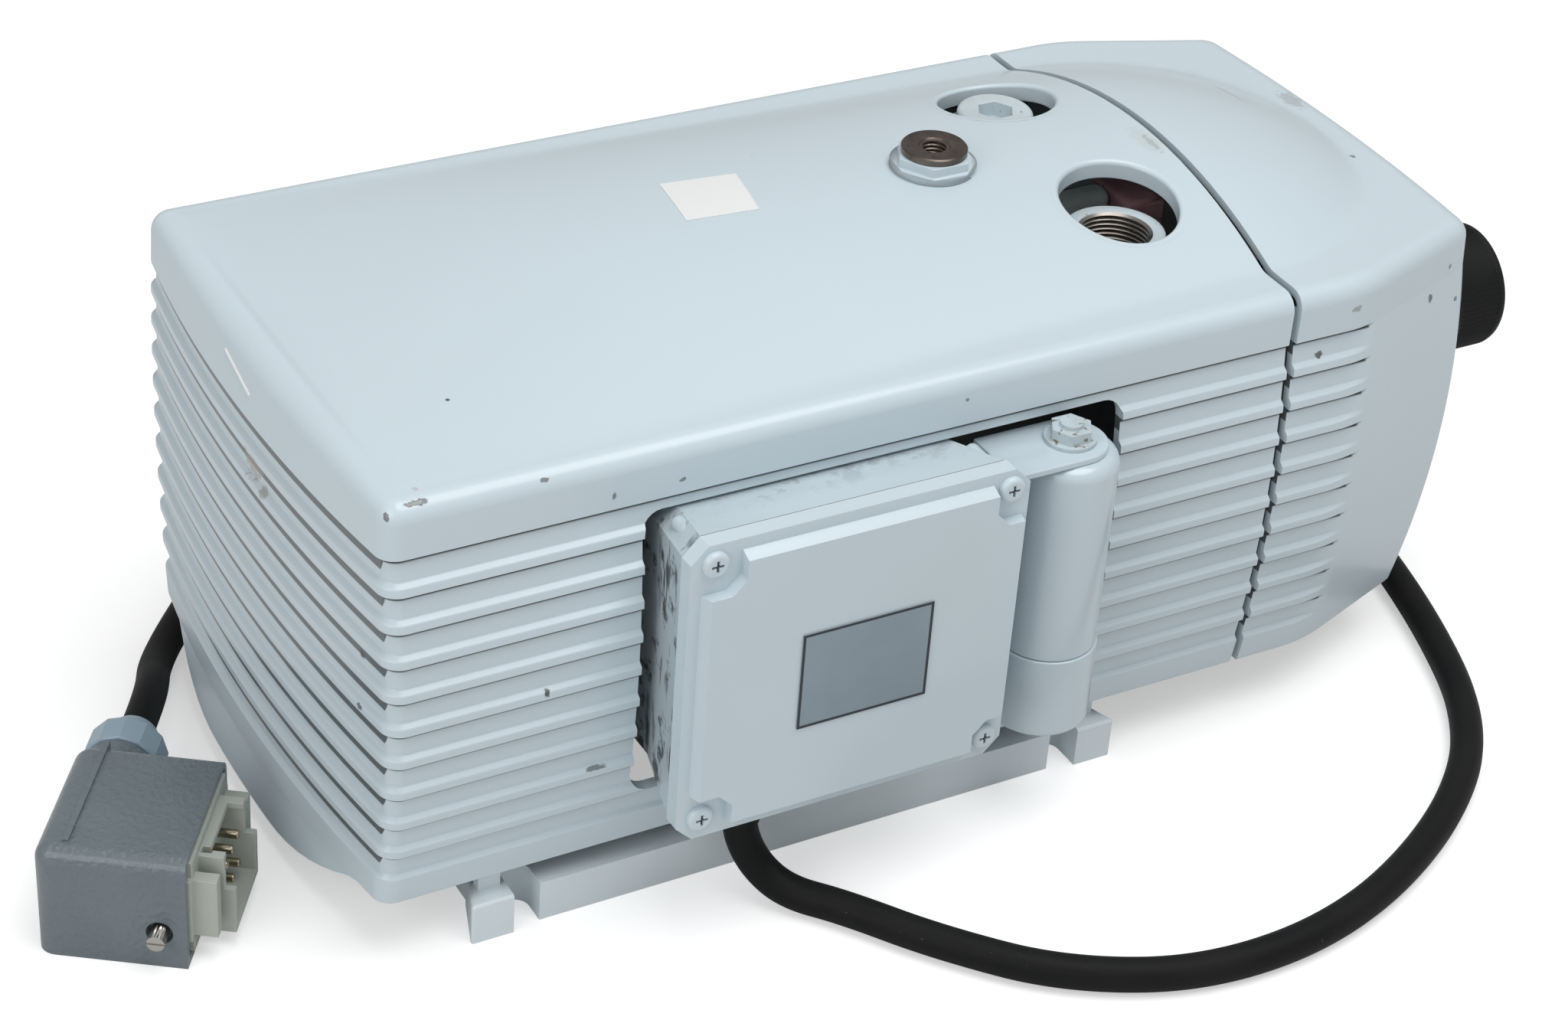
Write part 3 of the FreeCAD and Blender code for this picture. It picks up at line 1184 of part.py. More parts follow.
def cable_gland():
    """Threaded gland body with its knurled nut under the terminal box."""
    collar = cylinder_z(BOX_BOTTOM_Z - GLAND_COLLAR_H, BOX_BOTTOM_Z, GLAND_NUT_R - 1, GLAND_X, GLAND_Y)
    thread = cylinder_z(BOX_BOTTOM_Z - GLAND_COLLAR_H, BOX_BOTTOM_Z + GLAND_THREAD_IN, GLAND_THREAD_R,
                        GLAND_X, GLAND_Y)
    nut_top = BOX_BOTTOM_Z - GLAND_COLLAR_H
    nut = revolve_z([(0, nut_top), (GLAND_NUT_R, nut_top), (GLAND_NUT_R, GLAND_NUT_BOTTOM_Z + GLAND_NUT_CHAMFER),
                     (GLAND_NUT_R - GLAND_NUT_CHAMFER, GLAND_NUT_BOTTOM_Z), (0, GLAND_NUT_BOTTOM_Z)], GLAND_X, GLAND_Y)
    bore = cylinder_z(GLAND_NUT_BOTTOM_Z - 1, BOX_BOTTOM_Z + GLAND_THREAD_IN + 1, CORD_R, GLAND_X, GLAND_Y)
    return collar.fuse([thread, nut]).cut(bore).removeSplitter()


def blanking_plug():
    head = revolve_z([(0, BOX_BOTTOM_Z), (BLANK_R, BOX_BOTTOM_Z), (BLANK_R, BLANK_BOTTOM_Z + GLAND_NUT_CHAMFER),
                      (BLANK_R - GLAND_NUT_CHAMFER, BLANK_BOTTOM_Z), (0, BLANK_BOTTOM_Z)], BLANK_X, GLAND_Y)
    thread = cylinder_z(BOX_BOTTOM_Z, BOX_BOTTOM_Z + GLAND_THREAD_IN, GLAND_THREAD_R, BLANK_X, GLAND_Y)
    return head.fuse(thread).removeSplitter()


def capacitor_can():
    r, top = CAPACITOR_R, CAPACITOR_TOP_Z
    return revolve_z([(0, CAPACITOR_SPLIT_Z), (r, CAPACITOR_SPLIT_Z), (r, top - CAPACITOR_SHOULDER),
                      (r - CAPACITOR_SHOULDER / 3, top - CAPACITOR_SHOULDER / 3),
                      (r - CAPACITOR_SHOULDER, top), (0, top)], CAPACITOR_X, CAPACITOR_Y)


def capacitor_cup():
    r = CAPACITOR_R + CAPACITOR_CUP_STEP
    return revolve_z([(0, CAPACITOR_BOTTOM_Z), (r - 2, CAPACITOR_BOTTOM_Z), (r, CAPACITOR_BOTTOM_Z + 2),
                      (r, CAPACITOR_SPLIT_Z), (0, CAPACITOR_SPLIT_Z)], CAPACITOR_X, CAPACITOR_Y)


def capacitor_bracket():
    """Flat arm from the side of the terminal box, round over the capacitor's stud."""
    z0 = CAPACITOR_TOP_Z
    z1 = z0 + BRACKET_T
    wall_x = BOX_RIGHT_X + SEAT_GAP / 2
    arm = box(wall_x, CAPACITOR_X, CAPACITOR_Y - BRACKET_HALF_WIDTH, CAPACITOR_Y + BRACKET_HALF_WIDTH, z0, z1)
    nose = cylinder_z(z0, z1, BRACKET_HALF_WIDTH, CAPACITOR_X, CAPACITOR_Y)
    tab = box(wall_x, wall_x + BRACKET_T, CAPACITOR_Y - BRACKET_HALF_WIDTH + 5, CAPACITOR_Y + BRACKET_HALF_WIDTH,
              z0 - BRACKET_TAB_H, z1)
    hole = cylinder_z(z0 - 1, z1 + 1, CAPACITOR_STUD_R, CAPACITOR_X, CAPACITOR_Y)
    return arm.fuse([nose, tab]).cut(hole).removeSplitter()


def capacitor_nut():
    """Stud of the capacitor with its washer and nut on the bracket."""
    z0 = CAPACITOR_TOP_Z + BRACKET_T
    stud = cylinder_z(CAPACITOR_TOP_Z, z0 + CAPACITOR_WASHER_T + CAPACITOR_NUT_H + 1.5, CAPACITOR_STUD_R,
                      CAPACITOR_X, CAPACITOR_Y)
    washer = cylinder_z(z0, z0 + CAPACITOR_WASHER_T, CAPACITOR_WASHER_R, CAPACITOR_X, CAPACITOR_Y)
    nut = hexagon_z(z0 + CAPACITOR_WASHER_T, z0 + CAPACITOR_WASHER_T + CAPACITOR_NUT_H, CAPACITOR_NUT_AF,
                    CAPACITOR_X, CAPACITOR_Y)
    return stud.fuse([washer, nut]).removeSplitter()


def place_plug(shape):
    """Turns a piece from the connector's own axes to where the connector lies."""
    shape.rotate(V(0, 0, 0), V(0, 0, 1), PLUG_YAW)
    shape.translate(V(PLUG_X, PLUG_Y, 0))
    return shape


def connector_hood():
    """Die-cast hood; its own X points to the pins, Y across, Z up."""
    body = box(-PLUG_DEPTH, 0, 0, PLUG_WIDTH, 0, PLUG_HEIGHT)
    long_edges = [e for e in body.Edges if e.BoundBox.XLength > 1 or abs(e.BoundBox.XMax + PLUG_DEPTH) < 0.01]
    body = body.makeFillet(PLUG_EDGE, [e for e in long_edges if e.BoundBox.ZMin > 1 or e.BoundBox.ZLength > 1])
    gland_x = -PLUG_DEPTH + PLUG_GLAND_SETBACK
    middle_z = PLUG_HEIGHT / 2
    ridge = box(gland_x - PLUG_RIDGE, gland_x + PLUG_RIDGE, 6, PLUG_WIDTH, middle_z, PLUG_HEIGHT + PLUG_RIDGE)
    boss = cylinder_y(PLUG_WIDTH - 14, PLUG_WIDTH + PLUG_BOSS_LENGTH, PLUG_BOSS_R, gland_x, middle_z)
    room = box(-PLUG_DEPTH + 2 * PLUG_WALL, 1, PLUG_WALL, PLUG_WIDTH - PLUG_WALL, PLUG_WALL,
               PLUG_HEIGHT - PLUG_WALL)
    bore = cylinder_y(PLUG_WIDTH - 10, PLUG_WIDTH + PLUG_BOSS_LENGTH + 1, CORD_R, gland_x, middle_z)
    pegs = [cylinder_y(-PEG_OUT, PEG_ROOT, PEG_R, -PEG_DEPTH, PEG_Z),
            cylinder_y(PLUG_WIDTH - PEG_ROOT, PLUG_WIDTH + PEG_OUT, PEG_R, -PEG_DEPTH, PEG_Z)]
    return place_plug(body.fuse([ridge, boss]).cut([room, bore] + pegs).removeSplitter())


def connector_pegs():
    """Locking peg on each side, with a slot in its end."""
    pegs = []
    for y0, y1 in ((-PEG_OUT, PLUG_WALL), (PLUG_WIDTH - PLUG_WALL, PLUG_WIDTH + PEG_OUT)):
        peg = cylinder_y(y0, y1, PEG_R, -PEG_DEPTH, PEG_Z)
        face_y = y0 if y0 < 0 else y1
        slot = box(-PEG_DEPTH - 2 * PEG_R, -PEG_DEPTH + 2 * PEG_R, face_y - PEG_SLOT_DEPTH,
                   face_y + PEG_SLOT_DEPTH, PEG_Z - PEG_SLOT_HALF, PEG_Z + PEG_SLOT_HALF)
        pegs.append(peg.cut(slot))
    return place_plug(Part.makeCompound(pegs))


def connector_insert():
    """Insulating block with the pin field and its two side walls."""
    y0, y1 = INSERT_MARGIN, PLUG_WIDTH - INSERT_MARGIN
    z0, z1 = PLUG_WALL, PLUG_HEIGHT - PLUG_WALL
    block = box(-PLUG_DEPTH + 20, 1.0, y0, y1, z0, z1)
    wall = 2.5
    frame = box(0, INSERT_OUT, y0 + 8, y1 - 8, z0 + 3, z1 - 3)
    frame = frame.cut(box(1.0, INSERT_OUT + 1, y0 + 8 + wall, y1 - 8 - wall, z0 + 3 + wall, z1 - 3 - wall))
    bars = [box(0, INSERT_OUT - 4, y, y + 5, z0 + 7, z1 - 7) for y in (y0, y1 - 5)]
    ears = [box(-3, 1, 0 + PLUG_WALL, y0, z0 + 6, z1 - 6), box(-3, 1, y1, PLUG_WIDTH - PLUG_WALL, z0 + 6, z1 - 6)]
    return place_plug(block.fuse([frame] + bars + ears).removeSplitter())


def connector_pins():
    pins = []
    for i in range(PIN_COUNT):
        y = PLUG_WIDTH / 2 + (i % 3 - 1) * 8.0
        z = PLUG_HEIGHT / 2 + (i // 3 - 0.5) * 12.0
        pins.append(cylinder_x(1.0, 1.0 + PIN_LENGTH, PIN_R, y, z))
    return place_plug(Part.makeCompound(pins))


def plug_gland_tip():
    """Outer end of the connector's gland in the pump's axes."""
    yaw = math.radians(PLUG_YAW)
    x = -PLUG_DEPTH + PLUG_GLAND_SETBACK
    y = PLUG_WIDTH + PLUG_BOSS_LENGTH + PLUG_GLAND_LENGTH
    return V(PLUG_X + x * math.cos(yaw) - y * math.sin(yaw), PLUG_Y + x * math.sin(yaw) + y * math.cos(yaw),
             PLUG_HEIGHT / 2)


def connector_gland():
    x = -PLUG_DEPTH + PLUG_GLAND_SETBACK
    z = PLUG_HEIGHT / 2
    y0 = PLUG_WIDTH + PLUG_BOSS_LENGTH
    body = cylinder_y(y0, y0 + PLUG_GLAND_LENGTH - 6, PLUG_GLAND_R, x, z)
    neck = Part.makeCone(PLUG_GLAND_R, CORD_R + 1.5, 6, V(x, y0 + PLUG_GLAND_LENGTH - 6, z), V(0, 1, 0))
    bore = cylinder_y(y0 - 1, y0 + PLUG_GLAND_LENGTH + 1, CORD_R, x, z)
    return place_plug(body.fuse(neck).cut(bore).removeSplitter())


def supply_cord():
    """Rubber cord laid on the floor round the pump, from the gland to the connector."""
    yaw = math.radians(PLUG_YAW)
    across = V(-math.sin(yaw), math.cos(yaw), 0)
    tip = plug_gland_tip()
    start = V(GLAND_X, GLAND_Y, GLAND_NUT_BOTTOM_Z)
    floor = CORD_R
    points = [
        start,
        V(GLAND_X, GLAND_Y, 25),
        V(GLAND_X + 4.3, GLAND_Y - 5.5, 13),
        V(GLAND_X + 11.8, GLAND_Y - 15, floor),
        V(-8, -142, floor),
        V(12, -171, floor),
        V(42, -203, floor),
        V(88, -223, floor),
        V(147, -220, floor),
        V(210, -191, floor),
        V(256, -150, floor),
        V(283, -83, floor),
        V(301, -5, floor),
        V(283, 78, floor),
        V(215, 148, floor),
        V(120, 172, floor),
        V(15, 182, floor),
        V(-65, 168, floor),
        V(-122, 136, floor),
        V(-149, 106, floor),
        V(-171, 77, 8),
        tip + across * 24,
        tip,
    ]
    edges = []
    last = points[0]
    length = 0.0
    for before, here, after in zip(points, points[1:], points[2:]):
        shorter = min((here - before).Length, (after - here).Length)
        to_before = (before - here).normalize()
        to_after = (after - here).normalize()
        turn = math.pi - to_before.getAngle(to_after)
        radius = 0.45 * shorter / math.tan(turn / 2)
        reach = 0.45 * shorter
        first = here + to_before * reach
        second = here + to_after * reach
        bisector = (to_before + to_after).normalize()
        centre = here + bisector * (radius / math.cos(turn / 2))
        middle = centre - bisector * radius
        edges.append(line(last, first))
        edges.append(arc(first, middle, second))
        length += (first - last).Length + radius * turn
        last = second
        print("cord radius", round(radius, 1), "turn", round(math.degrees(turn), 1))
    edges.append(line(last, points[-1]))
    length += (points[-1] - last).Length
    path = Part.Wire(edges)
    profile = Part.Wire(Part.makeCircle(CORD_R, points[0], points[1] - points[0]))
    tube = path.makePipeShell([profile], True, False)
    expected = math.pi * CORD_R ** 2 * length
    print("cord length", round(length), "volume ratio", round(tube.Volume / expected, 4))
    return tube


save("main_hood", main_hood())
save("end_cap", end_cap())
save("seam_band", seam_band())
save("base_rail_front", rail(1))
save("base_rail_rear", rail(-1))
save("base_cross_left", cross_member(-1))
save("base_cross_right", cross_member(1))
save("hood_pads", hood_pads())
save("buffers_left", buffers(-1))
save("buffers_right", buffers(1))
save("foot_left", foot_bracket(-1, MOTOR_R, MOTOR_LEFT_X))
save("foot_right", foot_bracket(1, PUMP_OUTER_R, CROSS_INNER_X + 2))
save("motor_housing", motor_housing())
save("end_shield", end_shield())
save("stator_core", stator_core())
save("windings", windings())
save("rotor_core", rotor_core())
save("shaft", shaft())
save("bearing_left", bearing(MOTOR_LEFT_X))
save("bearing_middle", bearing(MOTOR_RIGHT_X))
save("bearing_right", bearing(PUMP_RIGHT_X + PUMP_COVER_T - BEARING_WIDTH))
save("cooling_fan", cooling_fan())
save("fan_cowl", fan_cowl())
save("pump_cover_inner", pump_cover_inner())
save("pump_cover_outer", pump_cover_outer())
save("pump_cylinder", pump_cylinder())
save("pump_rotor", pump_rotor())
save("vanes", vanes())
save("suction_flange", port_flange(-1))
save("outlet_flange", port_flange(1))
save("valve_disc", valve_disc())
save("valve_spring", valve_spring())
save("closing_plug", closing_plug())
save("lifting_stud", lifting_stud())
save("stud_nut", stud_nut())
save("regulator_body", regulator_body())
save("regulator_ring_nut", regulator_ring_nut())
save("regulator_cone", regulator_cone())
save("regulator_spindle", regulator_spindle())
save("regulator_knob", regulator_knob())
save("filter_cartridge", filter_cartridge())
save("filter_holder", filter_holder())
save("terminal_box", terminal_box())
save("lid_gasket", lid_gasket())
save("terminal_lid", terminal_lid())
save("lid_screws", lid_screws())
save("rating_plate", rating_plate())
save("terminal_block", terminal_block())
save("cable_gland", cable_gland())
save("blanking_plug", blanking_plug())
save("capacitor_can", capacitor_can())
save("capacitor_cup", capacitor_cup())
save("capacitor_bracket", capacitor_bracket())
save("capacitor_nut", capacitor_nut())
save("connector_hood", connector_hood())
save("connector_pegs", connector_pegs())
save("connector_insert", connector_insert())
save("connector_pins", connector_pins())
save("connector_gland", connector_gland())
save("supply_cord", supply_cord())
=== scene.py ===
import json
import math

import bpy
from mathutils import Matrix, Vector

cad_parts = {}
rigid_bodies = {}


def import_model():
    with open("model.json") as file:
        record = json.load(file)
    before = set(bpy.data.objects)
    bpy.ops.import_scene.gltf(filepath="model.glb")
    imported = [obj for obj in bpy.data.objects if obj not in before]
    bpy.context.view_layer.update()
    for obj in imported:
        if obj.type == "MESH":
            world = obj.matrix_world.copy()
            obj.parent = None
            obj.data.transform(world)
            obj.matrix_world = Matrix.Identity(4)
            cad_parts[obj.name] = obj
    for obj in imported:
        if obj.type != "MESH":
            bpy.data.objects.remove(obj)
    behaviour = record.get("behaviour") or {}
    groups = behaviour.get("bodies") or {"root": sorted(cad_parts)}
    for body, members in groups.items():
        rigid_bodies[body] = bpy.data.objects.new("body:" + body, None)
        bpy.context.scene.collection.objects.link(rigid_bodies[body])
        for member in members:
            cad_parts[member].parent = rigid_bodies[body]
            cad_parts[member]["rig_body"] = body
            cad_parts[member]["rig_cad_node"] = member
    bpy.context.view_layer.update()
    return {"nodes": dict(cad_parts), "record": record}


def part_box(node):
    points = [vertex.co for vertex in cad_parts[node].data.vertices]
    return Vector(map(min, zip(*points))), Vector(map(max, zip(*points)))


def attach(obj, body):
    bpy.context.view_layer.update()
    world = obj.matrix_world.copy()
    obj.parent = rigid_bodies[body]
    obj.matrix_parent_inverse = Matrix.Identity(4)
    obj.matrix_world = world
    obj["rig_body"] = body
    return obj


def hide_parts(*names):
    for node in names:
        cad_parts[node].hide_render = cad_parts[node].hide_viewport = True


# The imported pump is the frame: every piece below is placed in its coordinates, on the floor at z 0,
# with the fan end at -X, the terminal box towards -Y and the regulator knob at +X.
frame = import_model()

# Camera
# A short telephoto looking down on the pump from the terminal box side, standing at the fan end.
camera_data = bpy.data.cameras.new("studio_camera")
camera = bpy.data.objects.new("studio_camera", camera_data)
bpy.context.scene.collection.objects.link(camera)
camera_data.sensor_fit = "HORIZONTAL"
camera_data.sensor_width = 36.0
camera_data.lens = 78.07
camera_right = Vector((0.87475, -0.480317, 0.064085))
camera_up = Vector((0.218906, 0.509683, 0.832048))
camera_back = Vector((-0.43231, -0.713806, 0.55099))
camera_place = (-0.49084, -0.88133, 0.74357)
camera_turn = Matrix((camera_right, camera_up, camera_back)).transposed().to_4x4()
camera.matrix_world = Matrix.Translation(camera_place) @ camera_turn
bpy.context.scene.camera = camera

# Supply cable
# Black rubber cord of three cores, 12 mm thick. It drops out of the gland under the terminal box, lies
# in a loose loop on the floor round the regulator end and behind the pump, and rises into the connector.
MM = 0.001


def link(tree, source, target):
    tree.links.new(source, target)


def put(tree, slot, value):
    """Gives an input a number, a colour or the output of another node."""
    if isinstance(value, (int, float)):
        slot.default_value = value
    elif isinstance(value, tuple):
        slot.default_value = (*value, 1.0)
    else:
        link(tree, value, slot)


def maths(tree, operation, first, second):
    """A math node; numbers and sockets can both be given."""
    node = tree.nodes.new("ShaderNodeMath")
    node.operation = operation
    put(tree, node.inputs[0], first)
    put(tree, node.inputs[1], second)
    return node.outputs[0]


def noise(tree, where, scale, detail=2.0, roughness=0.5):
    node = tree.nodes.new("ShaderNodeTexNoise")
    for name, value in (("Vector", where), ("Scale", scale), ("Detail", detail), ("Roughness", roughness)):
        put(tree, node.inputs[name], value)
    return node.outputs["Fac"]


def ramp(tree, value, start, end):
    """0 at the start, 1 at the end, straight in between and level beyond; the start may be the larger."""
    node = tree.nodes.new("ShaderNodeMapRange")
    node.inputs["From Min"].default_value = start
    node.inputs["From Max"].default_value = end
    link(tree, value, node.inputs["Value"])
    return node.outputs["Result"]


def blend_colour(tree, share, first, second):
    node = tree.nodes.new("ShaderNodeMix")
    node.data_type = "RGBA"
    for slot, value in ((0, share), (6, first), (7, second)):
        put(tree, node.inputs[slot], value)
    return node.outputs[2]


# One node group gives every material its own small faults: cloudy tone, fine grain and specks.
aged = bpy.data.node_groups.new("aged_surface", "ShaderNodeTree")
for way, kind, socket_names in (
    ("INPUT", "NodeSocketColor", ("Coat", "Grime")),
    ("INPUT", "NodeSocketFloat", ("Cloud Scale", "Cloud Depth", "Grain Scale", "Speck Scale", "Speck Limit",
                                  "Rough Low", "Rough High")),
    ("OUTPUT", "NodeSocketColor", ("Colour",)),
    ("OUTPUT", "NodeSocketFloat", ("Roughness", "Height")),
):
    for socket_name in socket_names:
        aged.interface.new_socket(name=socket_name, in_out=way, socket_type=kind)
aged_in = aged.nodes.new("NodeGroupInput").outputs
aged_out = aged.nodes.new("NodeGroupOutput").inputs
aged_where = aged.nodes.new("ShaderNodeTexCoord").outputs["Object"]
cloud = noise(aged, aged_where, aged_in["Cloud Scale"], 5.0)
speck = noise(aged, aged_where, aged_in["Speck Scale"], 3.0)
cloud_share = maths(aged, "MULTIPLY", ramp(aged, cloud, 0.35, 0.75), aged_in["Cloud Depth"])
clouded = blend_colour(aged, cloud_share, aged_in["Coat"], aged_in["Grime"])
speck_mask = ramp(aged, maths(aged, "SUBTRACT", speck, aged_in["Speck Limit"]), 0.0, 0.02)
link(aged, blend_colour(aged, speck_mask, clouded, aged_in["Grime"]), aged_out["Colour"])
rough_span = maths(aged, "SUBTRACT", aged_in["Rough High"], aged_in["Rough Low"])
rough_part = maths(aged, "MULTIPLY", rough_span, ramp(aged, cloud, 0.3, 0.7))
link(aged, maths(aged, "ADD", aged_in["Rough Low"], rough_part), aged_out["Roughness"])
link(aged, noise(aged, aged_where, aged_in["Grain Scale"]), aged_out["Height"])


def finish(name, coat, grime, rough, metallic=0.0, cloud=(9.0, 0.12), grain=(900.0, 0.1),
           specks=(160.0, 0.85), coat_weight=0.0):
    """A material from the aged surface. It takes the span of its roughness, the scale and depth of its
    clouds, the scale and height of its grain, and the scale and limit of its specks."""
    material = bpy.data.materials.new(name)
    material.use_nodes = True
    tree = material.node_tree
    shader = tree.nodes["Principled BSDF"].inputs
    shader["Metallic"].default_value = metallic
    shader["Coat Weight"].default_value = coat_weight
    shader["Coat Roughness"].default_value = 0.12
    surface = tree.nodes.new("ShaderNodeGroup")
    surface.node_tree = aged
    surface.name = "surface"
    for socket_name, value in (("Coat", coat), ("Grime", grime), ("Cloud Scale", cloud[0]),
                               ("Cloud Depth", cloud[1]), ("Grain Scale", grain[0]),
                               ("Speck Scale", specks[0]), ("Speck Limit", specks[1]),
                               ("Rough Low", rough[0]), ("Rough High", rough[1])):
        put(tree, surface.inputs[socket_name], value)
    bump = tree.nodes.new("ShaderNodeBump")
    bump.name = "relief"
    bump.inputs["Strength"].default_value = grain[1]
    bump.inputs["Distance"].default_value = 0.3 * MM
    link(tree, surface.outputs["Colour"], shader["Base Color"])
    link(tree, surface.outputs["Roughness"], shader["Roughness"])
    link(tree, surface.outputs["Height"], bump.inputs["Height"])
    link(tree, bump.outputs["Normal"], shader["Normal"])
    return material


cable_route = [
    (-33.3, -112.5, 31), (-33.3, -112.5, 25), (-29, -118, 13), (-21.5, -127.5, 6), (-8, -142, 6),
    (12, -171, 6), (42, -203, 6), (88, -223, 6), (147, -220, 6), (210, -191, 6), (256, -150, 6),
    (283, -83, 6), (301, -5, 6), (283, 78, 6), (215, 148, 6), (120, 172, 6), (15, 182, 6),
    (-65, 168, 6), (-122, 136, 6), (-149, 106, 6), (-171, 77, 8), (-183.0, 43.83, 21.4),
    (-196.42, 23.94, 21.4),
]
gland_x, gland_y = cable_route[0][:2]
cable_radius = 6.0
cable_rubber = finish("cord_rubber", (0.007, 0.0075, 0.008), (0.05, 0.047, 0.042), (0.42, 0.62),
                      cloud=(25.0, 0.2), grain=(1400.0, 0.25), specks=(420.0, 0.73))
cable_curve = bpy.data.curves.new("supply_cable", "CURVE")
cable_curve.dimensions = "3D"
cable_line = cable_curve.splines.new("NURBS")
cable_line.points.add(len(cable_route) - 1)
for point, place in zip(cable_line.points, cable_route):
    point.co = (*[value * MM for value in place], 1.0)
cable_line.order_u = 3
cable_line.use_endpoint_u = True
cable_line.resolution_u = 14
cable_curve.bevel_depth = cable_radius * MM
cable_curve.bevel_resolution = 8
cable_curve.use_fill_caps = True
cable = bpy.data.objects.new("supply_cable", cable_curve)
bpy.context.scene.collection.objects.link(cable)
cable_curve.materials.append(cable_rubber)
cable_rubber.node_tree.nodes["Principled BSDF"].inputs["Specular IOR Level"].default_value = 0.12
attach(cable, "frame")
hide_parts("supply_cord")


# Heavy-duty connector
# Six-pole industrial connector with a die-cast hood in grey hammer paint, a blue-grey plastic gland, a
# light insert that stands out of the hood, turned pins and two steel locking pegs on each side.
def quiet():
    """Leaves edit mode and deselects everything."""
    if bpy.context.object and bpy.context.object.mode != "OBJECT":
        bpy.ops.object.mode_set(mode="OBJECT")
    bpy.ops.object.select_all(action="DESELECT")


def take(piece):
    quiet()
    bpy.context.view_layer.objects.active = piece
    piece.select_set(True)


def pick(piece, kind, test):
    """Opens a piece in edit mode with the faces, edges or corners selected that pass the test. The test is
    given a face, the two ends of an edge or the place of a corner."""
    take(piece)
    bpy.ops.object.mode_set(mode="EDIT")
    bpy.ops.mesh.select_mode(type=kind)
    bpy.ops.mesh.select_all(action="DESELECT")
    bpy.ops.object.mode_set(mode="OBJECT")
    mesh = piece.data
    if kind == "FACE":
        for face in mesh.polygons:
            face.select = test(face)
    elif kind == "EDGE":
        for edge in mesh.edges:
            edge.select = test(*[mesh.vertices[i].co for i in edge.vertices])
    else:
        for vertex in mesh.vertices:
            vertex.select = test(vertex.co)
    bpy.ops.object.mode_set(mode="EDIT")


def round_edges(piece, radius, segments, test):
    """Rounds the edges of a piece that pass the test, by a radius in millimetres."""
    pick(piece, "EDGE", test)
    bpy.ops.mesh.bevel(offset=radius * MM, segments=segments, affect="EDGES")
    quiet()


def add_modifier(piece, kind, **settings):
    take(piece)
    modifier = piece.modifiers.new(kind.lower(), kind)
    for key, value in settings.items():
        setattr(modifier, key, value)
    bpy.ops.object.modifier_apply(modifier=modifier.name)


def smooth(piece, angle=35):
    """Smooth shading with crisp edges, and flats that stay flat beside their rounded edges."""
    take(piece)
    bpy.ops.object.shade_smooth_by_angle(angle=math.radians(angle))
    add_modifier(piece, "WEIGHTED_NORMAL", keep_sharp=True, weight=80)


def apply_place(piece):
    """Puts a piece's place, turn and size into its mesh."""
    take(piece)
    bpy.ops.object.transform_apply(location=True, rotation=True, scale=True)
    return piece


def wear(piece, material):
    """Gives a piece one finish all over."""
    piece.data.materials.clear()
    piece.data.materials.append(material)


def settle(piece, body, slot, material, *nodes):
    """Gives a piece its finish and hands it to the frame."""
    apply_place(piece)
    wear(piece, material)
    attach(piece, body)
    if nodes:
        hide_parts(*nodes)
    return piece


node_slot = {row["node"]: row["material_slot"] for row in frame["record"]["subparts"]}
node_body = {name: body for body, names in frame["record"]["behaviour"]["bodies"].items() for name in names}


def break_edges(piece, radius, segments=2, angle=32):
    """Rounds every edge sharper than an angle, if a radius is given, and smooths the piece."""
    if radius:
        add_modifier(piece, "BEVEL", width=radius * MM, segments=segments, limit_method="ANGLE",
                     angle_limit=math.radians(angle), use_clamp_overlap=True)
    smooth(piece, 40)


def recast(node, name, material, radius, segments=2, angle=32):
    """The casting or moulding of a node with its edges broken: a welded copy, bevelled and smoothed."""
    take(frame["nodes"][node])
    bpy.ops.object.duplicate()
    piece = bpy.context.object
    piece.name = name
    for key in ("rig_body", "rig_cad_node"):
        if key in piece:
            del piece[key]
    piece.parent = None
    take(piece)
    bpy.ops.object.mode_set(mode="EDIT")
    bpy.ops.mesh.select_all(action="SELECT")
    bpy.ops.mesh.remove_doubles(threshold=0.002 * MM)
    bpy.ops.mesh.dissolve_limited(angle_limit=math.radians(0.6))
    bpy.ops.object.mode_set(mode="OBJECT")
    break_edges(piece, radius, segments, angle)
    return settle(piece, node_body[node], node_slot[node], material, node)


def cut_with(piece, cutter):
    """Cuts a solid out of a piece and throws the cutter away."""
    add_modifier(piece, "BOOLEAN", operation="DIFFERENCE", solver="MANIFOLD", object=cutter)
    bpy.data.objects.remove(cutter)


def block(name, low, high):
    """A cube between two corners given in millimetres."""
    quiet()
    bpy.ops.mesh.primitive_cube_add(size=1.0, location=[(a + b) / 2 * MM for a, b in zip(low, high)],
                                    scale=[(b - a) * MM for a, b in zip(low, high)])
    bpy.context.object.name = name
    return apply_place(bpy.context.object)


def bar(name, radius, start, end, sides=96):
    """A cylinder between two points given in millimetres."""
    quiet()
    start, end = Vector(start), Vector(end)
    along = end - start
    bpy.ops.mesh.primitive_cylinder_add(vertices=sides, radius=radius * MM, depth=along.length * MM,
                                        location=(start + end) / 2 * MM,
                                        rotation=along.to_track_quat("Z", "Y").to_euler())
    bpy.context.object.name = name
    return apply_place(bpy.context.object)


plug_turn = math.radians(-34.0)
plug_place = Vector((-214.7, -74.7, 0)) * MM


def place_plug(piece):
    """Turns a piece from the connector's own axes (X to the pins, Y to the gland) to where it lies."""
    piece.rotation_euler.z = plug_turn
    piece.location = plug_place
    return apply_place(piece)


